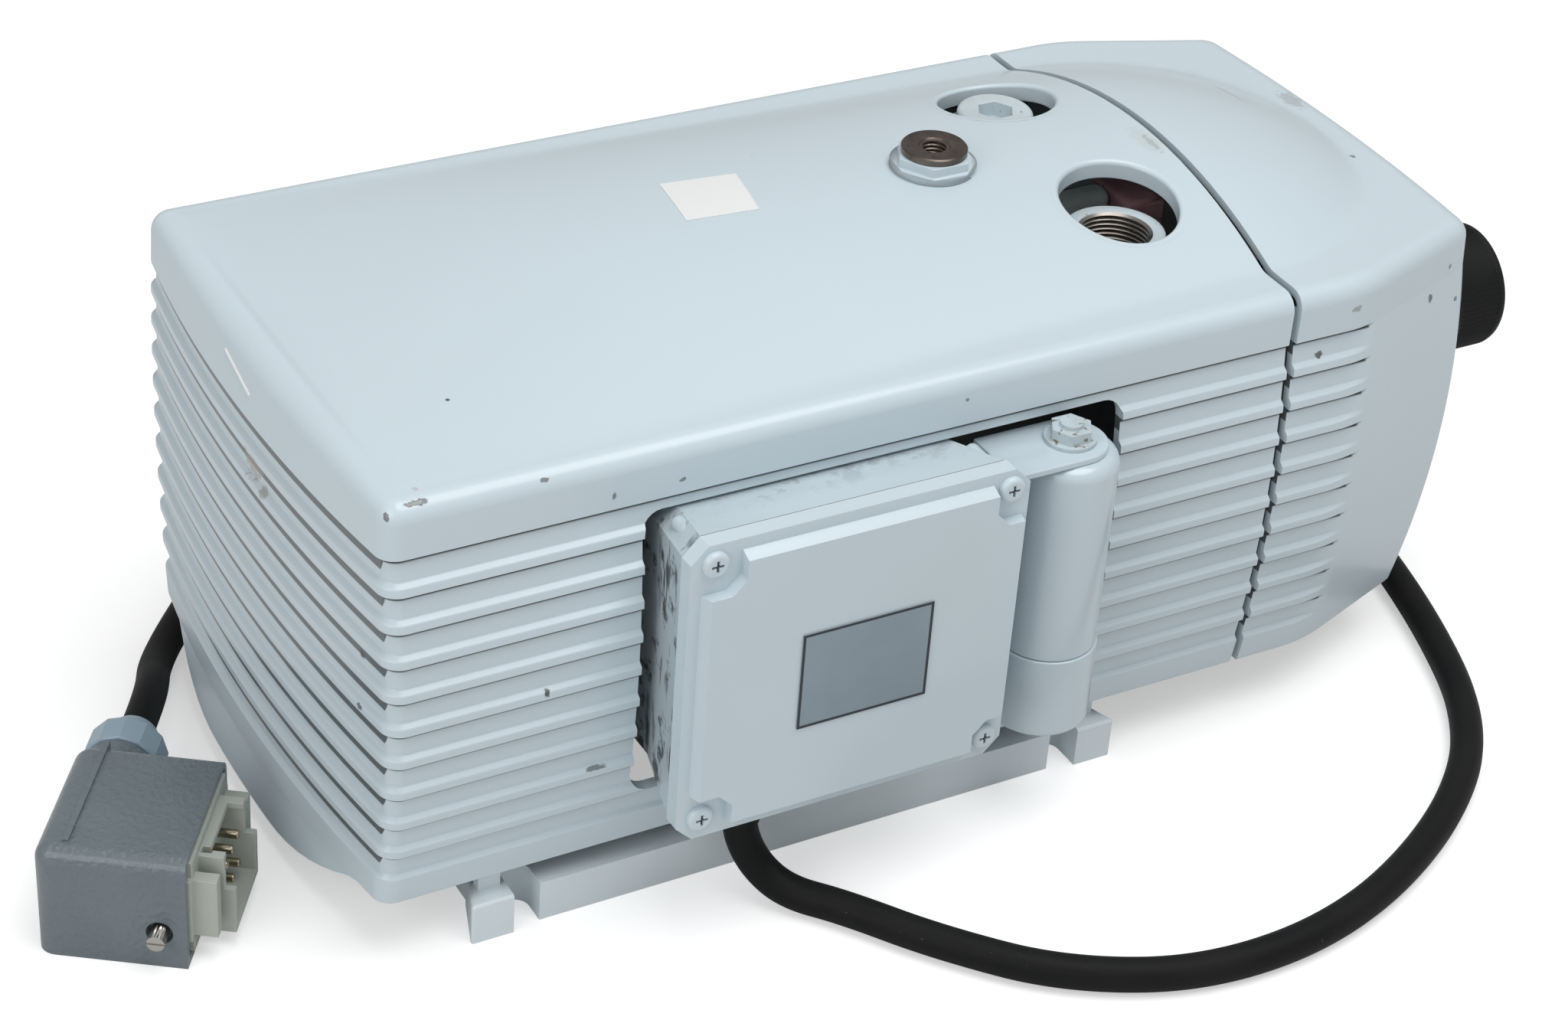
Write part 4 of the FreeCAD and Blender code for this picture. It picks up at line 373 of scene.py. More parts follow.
hammer_paint = finish("hammer_paint", (0.145, 0.18, 0.20), (0.09, 0.105, 0.115), (0.30, 0.46),
                      cloud=(40.0, 0.25), grain=(420.0, 1.0), specks=(260.0, 0.76), coat_weight=0.5)
hammer_paint.node_tree.nodes["relief"].inputs["Distance"].default_value = 0.9 * MM
gland_plastic = finish("gland_plastic", (0.30, 0.40, 0.47), (0.16, 0.2, 0.24), (0.3, 0.4),
                       cloud=(30.0, 0.12))
insert_plastic = finish("insert_plastic", (0.47, 0.50, 0.455), (0.22, 0.21, 0.18), (0.38, 0.5),
                        cloud=(40.0, 0.12))
bare_steel = finish("bare_steel", (0.52, 0.51, 0.48), (0.25, 0.2, 0.15), (0.22, 0.38), metallic=1.0,
                    cloud=(60.0, 0.3), grain=(1500.0, 0.1))
pin_brass = finish("pin_brass", (0.44, 0.39, 0.29), (0.3, 0.22, 0.12), (0.18, 0.3), metallic=1.0,
                   cloud=(80.0, 0.12))
plug_hood = recast("connector_hood", "plug_hood", hammer_paint, 1.1, 4)
plug_insert = recast("connector_insert", "plug_insert", insert_plastic, 0.0)

# The insert's upper wall is cut down in steps round the pins.
for low, high in (
    ((4.2, 17, 20), (14, 42, 45)),
    ((9.5, 13, 24), (14, 46, 45)),
    ((1.5, 15.5, 33), (5, 18.5, 45)),
):
    cut_with(plug_insert, place_plug(block("wall_cutter", low, high)))
break_edges(plug_insert, 0.45)

# Each peg is slimmed about its own axis, which runs across the connector.
plug_pegs = recast("connector_pegs", "plug_pegs", bare_steel, 0.0)
peg_slimming = 0.66
peg_axis = Vector((0.559, 0.829, 0.0))
peg_places = [corner.co for corner in plug_pegs.data.vertices]
peg_middle = sum(peg_places, Vector()) / len(peg_places)
for way in (-1, 1):
    peg = [corner for corner in plug_pegs.data.vertices if (corner.co - peg_middle).dot(peg_axis) * way > 0]
    centre = sum((corner.co for corner in peg), Vector()) / len(peg)
    for corner in peg:
        along = peg_axis * (corner.co - centre).dot(peg_axis)
        corner.co = centre + along + (corner.co - centre - along) * peg_slimming
plug_pins = recast("connector_pins", "plug_pins", pin_brass, 0.7, 3)

# A twelve-sided nut and a cone behind it hold the cord.
nut_x = -40
nut_z = cable_route[-1][2]
cone_taper = 0.72
plug_gland = place_plug(bar("plug_gland", 13.8, (nut_x, 72.3, nut_z), (nut_x, 84.5, nut_z), 12))
round_edges(plug_gland, 1.1, 3, lambda a, b: (a - b).length < 10 * MM)
gland_cone = place_plug(bar("gland_cone", 11.6, (nut_x, 84.0, nut_z), (nut_x, 91.8, nut_z), 64))
pick(gland_cone, "FACE", lambda face: face.normal.y > 0.8)
bpy.ops.transform.resize(value=(cone_taper, cone_taper, cone_taper))
quiet()
for piece in (plug_gland, gland_cone):
    smooth(piece, 24)
    settle(piece, "frame", node_slot["connector_gland"], gland_plastic, "connector_gland")

# Sound hood
# Cast aluminium cover over motor and pump, powder coated in a glossy pale blue-grey. Ten flat ribs run
# round its sides, the top swells to a low crown, and an apron hangs from the bowed fan end.
hood_left_x = -157.6
seam_x = 177.2
rim_z = 24.8
ribs_top_z = 161.1
shoulder_z = 180.0
top_half_width = 102.8
side_bulge = 7.9
bulge_mid_z = 103.6
bulge_half_height = 83.1
shell_corner = 7.2
end_bow = 7.7
end_bow_top = 1.6
shoulder_round = 6.6
shell_wall = 3.0
rib_count = 10
rib_pitch = 12.8
rib_depth = 1.8
# One rib pitch from below: (height under the rib line, depth of the surface behind the rib faces).
rib_section = [(10.1, 0.0), (9.8, 0.06), (9.5, 0.26), (8.5, 1.55), (8.25, 1.75), (8.0, rib_depth),
               (1.3, rib_depth), (1.1, 2.0), (1.0, 2.7), (0.2, 2.7), (0.1, 1.6), (0.02, 0.3),
               (-0.12, 0.08), (-0.4, 0.0)]
hood_paint = finish("blue_grey_paint", (0.60, 0.70, 0.755), (0.30, 0.32, 0.32), (0.30, 0.42),
                    cloud=(7.0, 0.07), grain=(520.0, 0.09), specks=(230.0, 0.815), coat_weight=0.35)


def axes(tree, source):
    """The X, Y and Z of a vector."""
    node = tree.nodes.new("ShaderNodeSeparateXYZ")
    link(tree, source, node.inputs[0])
    return node.outputs


# Painted shadow: a dark line under each rib covers its groove and the field just below it, standing in for
# the shade the ridge casts. It widens where the skin faces the fan end, where the shadows fall longer.
rib_shadow_width = 1.9
rib_shadow_widening = 3.4
rib_shadow_lowest = 35.2
rib_shadow_end = 213.5
rib_shadow_strength = 0.88
hood_tree = hood_paint.node_tree
rib_shadow_where = axes(hood_tree, hood_tree.nodes.new("ShaderNodeTexCoord").outputs["Object"])
rib_shadow_facing = axes(hood_tree, hood_tree.nodes.new("ShaderNodeNewGeometry").outputs["Normal"])
rib_shadow_down = maths(hood_tree, "SUBTRACT", ribs_top_z * MM, rib_shadow_where["Z"])
rib_shadow_part = maths(hood_tree, "FLOORED_MODULO", rib_shadow_down, rib_pitch * MM)
rib_shadow_more = maths(hood_tree, "MULTIPLY", ramp(hood_tree, rib_shadow_facing["X"], -0.90, -0.985), rib_shadow_widening * MM)
rib_shadow_reach = maths(hood_tree, "ADD", rib_shadow_more, rib_shadow_width * MM)
rib_shadow_mask = ramp(hood_tree, maths(hood_tree, "SUBTRACT", rib_shadow_reach, rib_shadow_part), 0.0, 0.5 * MM)
for part in (
    ramp(hood_tree, rib_shadow_down, 0.0, 0.02 * MM),
    ramp(hood_tree, rib_shadow_where["Z"], rib_shadow_lowest * MM, (rib_shadow_lowest + 0.1) * MM),
    ramp(hood_tree, rib_shadow_where["X"], rib_shadow_end * MM, (rib_shadow_end - 1) * MM),
    rib_shadow_strength,
):
    rib_shadow_mask = maths(hood_tree, "MULTIPLY", rib_shadow_mask, part)
# The painted rib shadow is blended into the hood's paint in near-black.
hood_colour = blend_colour(hood_tree, rib_shadow_mask, hood_tree.nodes["surface"].outputs["Colour"],
                           (0.04, 0.048, 0.052))


def vector_maths(tree, operation, first, second=(0.0, 0.0, 0.0)):
    """A vector math node between a socket and three numbers."""
    node = tree.nodes.new("ShaderNodeVectorMath")
    node.operation = operation
    link(tree, first, node.inputs[0])
    node.inputs[1].default_value = second
    return node.outputs


def spot(tree, middle, reach, strength):
    """Mask of one ragged oval mark, from its middle and half sizes in millimetres."""
    where = tree.nodes.new("ShaderNodeTexCoord").outputs["Object"]
    offset = vector_maths(tree, "SUBTRACT", where, [value * MM for value in middle])["Vector"]
    share = vector_maths(tree, "DIVIDE", offset, [value * MM for value in reach])["Vector"]
    distance = vector_maths(tree, "LENGTH", share)["Value"]
    ragged = maths(tree, "MULTIPLY", maths(tree, "SUBTRACT", noise(tree, where, 620.0), 0.5), 1.6)
    edge = ramp(tree, maths(tree, "ADD", distance, ragged), 1.0, 0.72)
    return maths(tree, "MULTIPLY", edge, strength)


# Chips, rubs and the remains of tape, each where it shows on the hood and the cap.
for middle, reach, strength, colour in (
    ((-146.3, -99.7, 179.0), (4.4, 1.3, 1.0), 0.9, (0.05, 0.05, 0.05)),
    ((-146.3, -99.7, 179.0), (3.3, 0.8, 0.6), 0.8, (0.30, 0.31, 0.31)),
    ((-155.9, -99.5, 176.4), (0.9, 1.2, 1.7), 0.8, (0.08, 0.08, 0.08)),
    ((-144.1, -94.1, 180.2), (1.0, 1.0, 1.2), 0.35, (0.38, 0.28, 0.22)),
    ((-104.3, -101.4, 177.4), (1.6, 0.9, 0.8), 0.8, (0.12, 0.12, 0.12)),
    ((-81.1, -102.8, 166.4), (0.8, 1.6, 1.4), 0.8, (0.12, 0.12, 0.115)),
    ((-57.1, -102.8, 166.5), (1.2, 1.6, 0.8), 0.8, (0.12, 0.12, 0.115)),
    ((46.8, -102.8, 170.8), (0.9, 1.6, 0.9), 0.8, (0.12, 0.12, 0.115)),
    ((-158.3, -87.1, 118.0), (1.6, 1.8, 1.4), 0.9, (0.04, 0.04, 0.04)),
    ((-160.1, -88.0, 99.3), (1.6, 1.6, 1.3), 0.8, (0.05, 0.05, 0.05)),
    ((-103.8, -106.6, 99.8), (1.1, 2.0, 2.2), 0.9, (0.03, 0.03, 0.03)),
    ((-84.2, -104.1, 62.2), (3.6, 3.0, 0.9), 0.7, (0.04, 0.042, 0.045)),
    ((-164.7, -10.4, 144.4), (4.0, 8.5, 5.5), 0.6, (0.34, 0.30, 0.25)),
    ((-163.5, -20.0, 139.0), (4.0, 3.0, 2.5), 0.6, (0.28, 0.25, 0.21)),
    ((172.5, -13.1, 197.8), (4.5, 11.0, 3.0), 0.22, (0.50, 0.48, 0.41)),
    ((173.4, -15.0, 197.4), (1.3, 7.0, 3.0), 0.35, (0.24, 0.23, 0.21)),
    ((235.3, 22.5, 187.8), (1.1, 15.0, 3.0), 0.45, (0.38, 0.38, 0.36)),
    ((239.5, 17.0, 186.6), (0.6, 5.0, 3.0), 0.3, (0.36, 0.36, 0.34)),
    ((265.3, 22.4, 179.9), (4.0, 8.0, 1.2), 0.5, (0.33, 0.34, 0.33)),
    ((-117.0, -57.0, 184.0), (0.8, 0.8, 3.0), 0.9, (0.05, 0.05, 0.05)),
    ((250.0, -88.9, 156.4), (1.4, 1.8, 2.0), 0.9, (0.08, 0.08, 0.077)),
    ((191.7, -101.9, 153.9), (1.6, 2.2, 1.8), 0.9, (0.07, 0.07, 0.068)),
    ((204.9, -102.6, 169.6), (2.4, 1.8, 1.4), 0.6, (0.20, 0.20, 0.19)),
    ((260.6, -84.5, 164.9), (1.0, 1.2, 1.2), 0.7, (0.10, 0.10, 0.095)),
    ((267.2, -83.5, 149.7), (1.4, 1.4, 1.0), 0.8, (0.08, 0.08, 0.075)),
    ((259.3, -24.5, 180.0), (1.2, 1.2, 1.2), 0.7, (0.10, 0.10, 0.095)),
):
    hood_colour = blend_colour(hood_tree, spot(hood_tree, middle, reach, strength), hood_colour, colour)
link(hood_tree, hood_colour, hood_tree.nodes["Principled BSDF"].inputs["Base Color"])

crown_start_x = -148.6
crown_left = (93.0, 4.0)
crown_right = (83.0, 18.5)
crown_fade = 18
port_x = 143.9
port_y = 40.5
port_hole = 21.3
port_roll = 1.7
rolled_radius = port_hole + port_roll


def shell_half(z):
    top = ((ribs_top_z - bulge_mid_z) / bulge_half_height) ** 2
    here = ((min(z, ribs_top_z) - bulge_mid_z) / bulge_half_height) ** 2
    return top_half_width + side_bulge * (top - here)


def between(low, high, share):
    return low + share * (high - low)


def eased(share):
    """0 to 1 with a soft start and a soft end."""
    share = max(0.0, min(1.0, share))
    return share * share * (3 - 2 * share)


def arc_radius(half, height):
    """Radius of an arc that rises by a height over twice the half width."""
    return (half ** 2 + height ** 2) / (2 * height)


def above_shoulder(rise):
    """Height of a top that rises from the flat shoulder, with a soft foot."""
    softness = 0.7
    return shoulder_z + 0.5 * (rise + math.sqrt(rise ** 2 + softness ** 2)) - softness * 0.1


def crown_z(x, y):
    """Height of the hood's crowned top at a place."""
    share = max(0.0, (x - crown_start_x) / (seam_x - crown_start_x))
    half = between(crown_left[0], crown_right[0], share)
    height = between(crown_left[1], crown_right[1], 1 - max(0.0, 1 - share) ** 1.8)
    radius = arc_radius(half, height)
    rise = math.sqrt(max(radius ** 2 - y ** 2, 0.0)) - (radius - height)
    return above_shoulder(rise * eased((x - hood_left_x) / crown_fade))


def arc(centre, radius, first, last, steps):
    """Points of an arc in equal steps between two angles."""
    turns = [between(first, last, i / steps) for i in range(steps + 1)]
    return [(centre[0] + radius * math.cos(turn), centre[1] + radius * math.sin(turn)) for turn in turns]


def hood_plan(z, inset, bow):
    """Points round the hood at one height, from the front of the seam by the bowed end to the back."""
    half = shell_half(z) - inset
    radius = arc_radius(shell_half(z), bow)
    centre_x = hood_left_x - bow + radius
    radius -= inset
    corner = max(shell_corner - inset, 0.5)
    corner_y = half - corner
    corner_x = centre_x - math.sqrt((radius - corner) ** 2 - corner_y ** 2)
    bow_start = math.pi + math.atan2(corner_y, centre_x - corner_x)
    front = [(between(seam_x, corner_x, i / 40), -half) for i in range(40)]
    front += arc((corner_x, -corner_y), corner, 1.5 * math.pi, bow_start, 8)
    front += arc((centre_x, 0.0), radius, bow_start, math.pi, 12)[1:]
    return front + [(x, -y) for x, y in reversed(front[:-1])]


def rib_levels():
    """Every (height, depth) of the skin from the rim over the ribs to the rounded shoulder."""
    levels = [(rim_z, 0.9), (rim_z + 0.3, 0.35), (rim_z + 0.9, 0.0)]
    for i in reversed(range(rib_count)):
        line_z = ribs_top_z - rib_pitch * i
        levels += [(line_z - under, depth) for under, depth in rib_section]
    return levels + arc((shoulder_z - shoulder_round, shoulder_round), shoulder_round, -math.pi / 2, 0, 6)


def skin(name, rings, inner_rings=None):
    """A skin of quads over rings with equal numbers of points, given in millimetres. With inner rings it
    is a wall, closed along the first ring and at both ends of every ring."""
    width = len(rings[0])
    points = [Vector(point) * MM for ring in rings for point in ring]
    faces = [(row * width + i, row * width + i + 1, (row + 1) * width + i + 1, (row + 1) * width + i)
             for row in range(len(rings) - 1) for i in range(width - 1)]
    if inner_rings:
        shift = len(points)
        points += [Vector(point) * MM for ring in inner_rings for point in ring]
        faces += [tuple(shift + corner for corner in reversed(face)) for face in faces]
        for row in range(len(rings) - 1):
            for i, turned_round in ((0, False), (width - 1, True)):
                low, high = row * width + i, (row + 1) * width + i
                edge = (low, high, shift + high, shift + low)
                faces.append(tuple(reversed(edge)) if turned_round else edge)
        faces += [(i + 1, i, shift + i, shift + i + 1) for i in range(width - 1)]
    mesh = bpy.data.meshes.new(name)
    mesh.from_pydata(points, [], faces)
    piece = bpy.data.objects.new(name, mesh)
    bpy.context.scene.collection.objects.link(piece)
    take(piece)
    bpy.ops.object.mode_set(mode="EDIT")
    bpy.ops.mesh.select_all(action="SELECT")
    bpy.ops.mesh.remove_doubles(threshold=0.01 * MM)
    bpy.ops.object.mode_set(mode="OBJECT")
    return piece


apron_half = 81.0
apron_slope = 54.0
apron_depth = 15.3
apron_lean = 0.21


def apron_drop(y):
    """How far the apron hangs below the rim at a distance from the middle."""
    share = max(0.0, min(1.0, (apron_half - abs(y)) / apron_slope))
    return apron_depth * (1 - (1 - share) ** 1.9)


def inner_level(z, depth):
    """The inner skin's level and depth behind a level of the outer skin: plain behind the ribs."""
    if z <= shoulder_z - shoulder_round:
        return z, shell_wall + rib_depth
    rise = (z - shoulder_z) / shoulder_round + 1
    return z - shell_wall * rise, shell_wall + depth * (1 - shell_wall / shoulder_round)


def close_top(rings, shares, top_z, ridge_x, below):
    """Carries a skin on from its shoulder to the middle line of the top, in rings at the given shares."""
    edge_ring = rings.pop()
    for share in shares:
        ring = []
        for x, y, z in edge_ring:
            x, y = between(x, ridge_x(x), share), y * (1 - share)
            lift = (top_z(x, y) - shoulder_z) * eased(share / 0.06)
            ring.append((x, y, shoulder_z + lift - below))
        rings.append(ring)


hood_rings = []
hood_inner = []
for below in (1.0, 0.66, 0.33):
    for rings, depth in ((hood_rings, 0.9), (hood_inner, shell_wall + 0.9)):
        ring = []
        for x, y in hood_plan(rim_z, depth, end_bow):
            hang = below * apron_drop(y) if x < hood_left_x + 12 else 0.0
            ring.append((x - hang * apron_lean, y, rim_z - hang))
        rings.append(ring)
for z, depth in rib_levels():
    share = max(0.0, min(1.0, (z - ribs_top_z) / (shoulder_z - ribs_top_z)))
    bow = between(end_bow, end_bow_top, share)
    hood_rings.append([(x, y, z) for x, y in hood_plan(z, depth, bow)])
    z, depth = inner_level(z, depth)
    hood_inner.append([(x, y, z) for x, y in hood_plan(z, depth, bow)])
spine_x = -100.0
hood_shares = (0, .006, .012, .02, .03, .04, .05, .065, .08, .095, .11, .125, .135, .145, .155, .165, .18, .2,
               .23, .27, .32, .38, .45, .53, .61, .7, .79, .88, .95, 1)
for rings, below in ((hood_rings, 0.0), (hood_inner, shell_wall)):
    close_top(rings, hood_shares, crown_z, lambda x: max(x, spine_x), below)
hood = skin("ribbed_hood", hood_rings, hood_inner)
pick(hood, "FACE", lambda face: True)
bpy.ops.mesh.flip_normals()
quiet()

# Openings: the front window with its lower step, the two entries, the stud and the two ports.
window_right = 109.7
blank_x = 10.7
stud_x = 92.2
window = block("window_cutter", (-70.3, -150, 46.2), (window_right, -80, 156.4))
round_edges(window, 7, 6, lambda a, b: abs(a.y - b.y) > 10 * MM)
cut_with(hood, window)
cut_with(hood, block("step_cutter", (62, -150, 37.5), (window_right, -80, 60)))
for x in (gland_x, blank_x):
    cut_with(hood, bar("gland_cutter", 13.6, (x, gland_y, 20), (x, gland_y, 50), 48))
cut_with(hood, bar("stud_cutter", 10.5, (stud_x, 0, 160), (stud_x, 0, 220), 48))
for y in (-port_y, port_y):
    cut_with(hood, bar("port_cutter", rolled_radius - 0.2, (port_x, y, 160), (port_x, y, 220)))
smooth(hood, 38)


def ring_round(y_middle, radius, lift):
    """A closed ring of points round a port, at a height over the crown."""
    circle = arc((port_x, y_middle), radius, 0.0, 2 * math.pi, 96)
    return [(x, y, crown_z(x, y) + lift) for x, y in circle]


# The rims of the two port holes are rolled inwards and end in a short collar.
rim_section = [(rolled_radius + 1.2, 0.03), (rolled_radius, 0.045)]
rim_section += arc((rolled_radius, 0.03 - port_roll), port_roll, math.pi / 2, math.pi, 8)[1:]
rim_section += [(port_hole, -6.4), (port_hole + 0.4, -6.9), (port_hole + 2.4, -6.9), (port_hole + 2.9, -6.4)]
for y_middle, rim_name in ((-port_y, "suction_hole_rim"), (port_y, "outlet_hole_rim")):
    rim = skin(rim_name, [ring_round(y_middle, radius, lift) for radius, lift in rim_section])
    smooth(rim, 60)
    settle(rim, "frame", "paint", hood_paint)
settle(hood, "frame", "paint", hood_paint, "main_hood")
label_paper = finish("label_paper", (0.82, 0.84, 0.835), (0.66, 0.68, 0.67), (0.42, 0.55),
                     cloud=(30.0, 0.12), grain=(900.0, 0.05))
label_corners = [Vector(corner) for corner in ((1.6, 31.4), (28.3, 25.7), (22.8, -1.7), (-2.9, 2.3))]
label_rings = []
for i in range(13):
    start = label_corners[0].lerp(label_corners[3], i / 12)
    end = label_corners[1].lerp(label_corners[2], i / 12)
    places = [start.lerp(end, j / 12) for j in range(13)]
    label_rings.append([(x, y, crown_z(x, y) + 0.05) for x, y in places])
label = skin("plain_label", label_rings)
pick(label, "FACE", lambda face: True)
bpy.ops.mesh.normals_make_consistent(inside=False)
quiet()
add_modifier(label, "SOLIDIFY", thickness=0.16 * MM, offset=1.0)
settle(label, "frame", "paint", label_paper)

tape = bar("white_tape", 0.6, (-161.7, 17.1, 171.5), (-163.0, -6.9, 167.8), 12)
smooth(tape, 40)
settle(tape, "frame", "paint", label_paper)

# End cap
# Second cover over the regulator end, of the same casting and paint. Its ribs run out where the sides
# draw in, and the crown of the hood ends on it as a shallow dome.
cap_left_x = 180.4
taper_turn = math.radians(20.0)
taper_start = 19.3
taper_bend = 60.3
cap_end_half = 79.0
cap_end_bow = 4.0
cap_corner = 9.0
groove_length = 34


def cap_top_z(x, y):
    """Height of the cap's domed top at a place."""
    radius = arc_radius(*crown_right)
    rise = math.sqrt(max(radius ** 2 - (x - seam_x) ** 2 - y ** 2, 0.0)) - (radius - crown_right[1])
    return above_shoulder(rise)


def cap_plan(z, inset, groove):
    """Points round the cap at one height, from the front of the seam by the end face to the back."""
    half = shell_half(z)
    bend_x, bend_y, bend_r = cap_left_x + taper_start, half - taper_bend, taper_bend - inset
    along = Vector((math.cos(taper_turn), math.sin(taper_turn)))
    inward = Vector((-math.sin(taper_turn), math.cos(taper_turn)))
    taper = Vector((bend_x, -bend_y)) - inward * bend_r
    end_r = arc_radius(cap_end_half, cap_end_bow)
    end_centre = Vector((276.2 - 0.00117 * (z - 108.0) ** 2 + cap_end_bow - end_r, 0.0))
    end_r -= inset
    corner = max(cap_corner - inset, 0.5)
    start = taper + inward * corner
    b = (start - end_centre).dot(along)
    c = (start - end_centre).length_squared - (end_r - corner) ** 2
    centre = start + along * (math.sqrt(b * b - c) - b)
    outward = (centre - end_centre).normalized()
    front = [(between(cap_left_x, bend_x, i / 10), inset - half) for i in range(10)]
    front += arc((bend_x, -bend_y), bend_r, -math.pi / 2, taper_turn - math.pi / 2, 8)
    tangent = centre - inward * corner
    front += [taper.lerp(tangent, i / 14) for i in range(1, 15)]
    last = math.atan2(outward.y, outward.x)
    front += arc(centre, corner, math.atan2(-inward.y, -inward.x), last, 8)[1:]
    front += arc(end_centre, end_r, last, 0.0, 12)[1:]
    points = [(x, max(y, groove - half) if x < cap_left_x + groove_length else y) for x, y in front]
    return points + [(x, -y) for x, y in reversed(points[:-1])]


cap_rings = []
cap_inner = []
for z, depth in rib_levels():
    on_rib = rim_z + 1 < z < ribs_top_z + 1
    cap_rings.append([(x, y, z) for x, y in cap_plan(z, 0.0 if on_rib else depth, depth if on_rib else 0.0)])
    z, depth = inner_level(z, depth)
    cap_inner.append([(x, y, z) for x, y in cap_plan(z, depth, 0.0)])
cap_shares = (0, .01, .02, .03, .045, .06, .075, .09, .105, .12, .135, .15, .165, .18, .2, .22, .24, .265,
              .29, .32, .36, .41, .47, .54, .62, .7, .79, .88, .95, 1)
for rings, below in ((cap_rings, 0.0), (cap_inner, shell_wall)):
    close_top(rings, cap_shares, cap_top_z, lambda x: cap_left_x, below)
cap = skin("ribbed_cap", cap_rings, cap_inner)
knob_y = -46.8
knob_z = 128.7
cut_with(cap, bar("spindle_cutter", 8.7, (255, knob_y, knob_z), (300, knob_y, knob_z), 48))
smooth(cap, 38)
settle(cap, "frame", "paint", hood_paint, "end_cap")
seal_strip = finish("seal_strip", (0.085, 0.08, 0.072), (0.05, 0.045, 0.04), (0.6, 0.8), cloud=(50.0, 0.5),
                    grain=(700.0, 0.3))
wear(frame["nodes"]["seam_band"], seal_strip)

# Base
# Two cast rails and two cross channels in the hood's paint, duller and dirtier near the floor, with their
# colour painted lighter than the hood's to stand in for the light lost in the shade by the floor; rubber
# buffers and steel brackets carry the machine on them.
# Painted light: the rails' coat is lighter than the hood's same paint, making up for the shade they stand in
# near the floor.
lightened_base_paint = finish("lightened_base_paint", (0.74, 0.82, 0.86), (0.30, 0.29, 0.27), (0.38, 0.55), cloud=(14.0, 0.12),
                    grain=(420.0, 0.2), specks=(200.0, 0.76))
rail_half = 126.5
rail_back_half = 119.5
slot_x = 105.8
slot_half = 5.2
slot_end_y = -91.4


def joined(pieces):
    """Joins the pieces into the first of them."""
    take(pieces[0])
    for piece in pieces:
        piece.select_set(True)
    bpy.ops.object.join()
    return pieces[0]


for node, turned_round in (("base_rail_front", False), ("base_rail_rear", True)):
    rail = block(node.replace("base", "painted"), (-rail_half, -101.7, 0), (rail_half, -81.5, 15.8))
    pick(rail, "VERT", lambda corner: corner.y > -90 * MM)
    bpy.ops.transform.resize(value=(rail_back_half / rail_half, 1, 1), center_override=(0, 0, 0))
    quiet()
    round_edges(rail, 1.3, 4, lambda a, b: max(a.z, b.z) > 1 * MM)
    cut_with(rail, block("rail_step", (-slot_x, -110, -5), (slot_x, -99.5, 20)))
    for x in (-slot_x, slot_x):
        cut_with(rail, block("slot_sides", (x - slot_half, -110, -5), (x + slot_half, slot_end_y, 20)))
        cut_with(rail, bar("slot_end", slot_half, (x, slot_end_y, -5), (x, slot_end_y, 20), 32))
    post_top_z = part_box(node)[1][2] / MM
    posts = [block("rail_post", (x - 4, -94.6, 15.0), (x + 4, -90.6, post_top_z)) for x in (-117, 117)]
    for post in posts:
        round_edges(post, 0.8, 3, lambda a, b: min(a.z, b.z) > 20 * MM)
    rail = joined([rail] + posts)
    if turned_round:
        bpy.ops.transform.rotate(value=math.pi, orient_axis="Z", center_override=(0, 0, 0))
        apply_place(rail)
    smooth(rail)
    settle(rail, "frame", node_slot[node], lightened_base_paint, node)
for node in ("base_cross_left", "base_cross_right"):
    recast(node, node.replace("base", "painted"), lightened_base_paint, 0.8, 3)
buffer_rubber = finish("buffer_rubber", (0.02, 0.02, 0.02), (0.09, 0.085, 0.08), (0.55, 0.7),
                       cloud=(40.0, 0.3))
for node in ("hood_pads", "buffers_left", "buffers_right"):
    wear(frame["nodes"][node], buffer_rubber)
bracket_steel = finish("bracket_steel", (0.30, 0.31, 0.31), (0.10, 0.08, 0.06), (0.4, 0.6), metallic=0.9,
                       cloud=(30.0, 0.4))
for node in ("foot_left", "foot_right"):
    wear(frame["nodes"][node], bracket_steel)

# Terminal box
# Die-cast box screwed to the motor, painted over together with its lid and its four pan-head screws.
# The lid's raised panel leaves a pocket at each corner; a thin seal shows between lid and box.
box_paint = finish("box_paint", (0.58, 0.68, 0.73), (0.13, 0.125, 0.12), (0.30, 0.44), cloud=(16.0, 0.16),
                   grain=(330.0, 0.3), specks=(210.0, 0.80), coat_weight=0.35)
lid_paint = finish("lid_paint", (0.60, 0.70, 0.755), (0.36, 0.36, 0.35), (0.30, 0.42), cloud=(12.0, 0.10),
                   grain=(360.0, 0.22), specks=(240.0, 0.82), coat_weight=0.35)

# Dirt in blots and upright streaks on the box's left side, and a little on its top towards the hood.
dirt_strength = 0.85
dirt_top_share = 0.4
dirt = box_paint.node_tree
dirt_where = dirt.nodes.new("ShaderNodeTexCoord").outputs["Object"]
dirt_long = vector_maths(dirt, "MULTIPLY", dirt_where, (1.0, 1.0, 0.22))["Vector"]
dirt_facing = axes(dirt, dirt.nodes.new("ShaderNodeNewGeometry").outputs["Normal"])
dirt_blots = maths(dirt, "MAXIMUM", ramp(dirt, noise(dirt, dirt_where, 75.0, 8.0, 0.65), 0.55, 0.62),
                   ramp(dirt, noise(dirt, dirt_long, 210.0, 4.0), 0.57, 0.66))
dirt_back = maths(dirt, "MULTIPLY", ramp(dirt, dirt_facing["Z"], 0.6, 0.9),
                  ramp(dirt, axes(dirt, dirt_where)["Y"], -118 * MM, -98 * MM))
dirt_back = maths(dirt, "MULTIPLY", dirt_back, dirt_top_share)
dirt_side = ramp(dirt, dirt_facing["X"], -0.4, -0.8)
dirt_mask = maths(dirt, "MULTIPLY", dirt_blots, maths(dirt, "MAXIMUM", dirt_side, dirt_back))
dirt_mask = maths(dirt, "MULTIPLY", dirt_mask, dirt_strength)
link(dirt, blend_colour(dirt, dirt_mask, dirt.nodes["surface"].outputs["Colour"], (0.035, 0.035, 0.035)),
     dirt.nodes["Principled BSDF"].inputs["Base Color"])
recast("terminal_box", "motor_terminal_box", box_paint, 0.9, 3, 50)

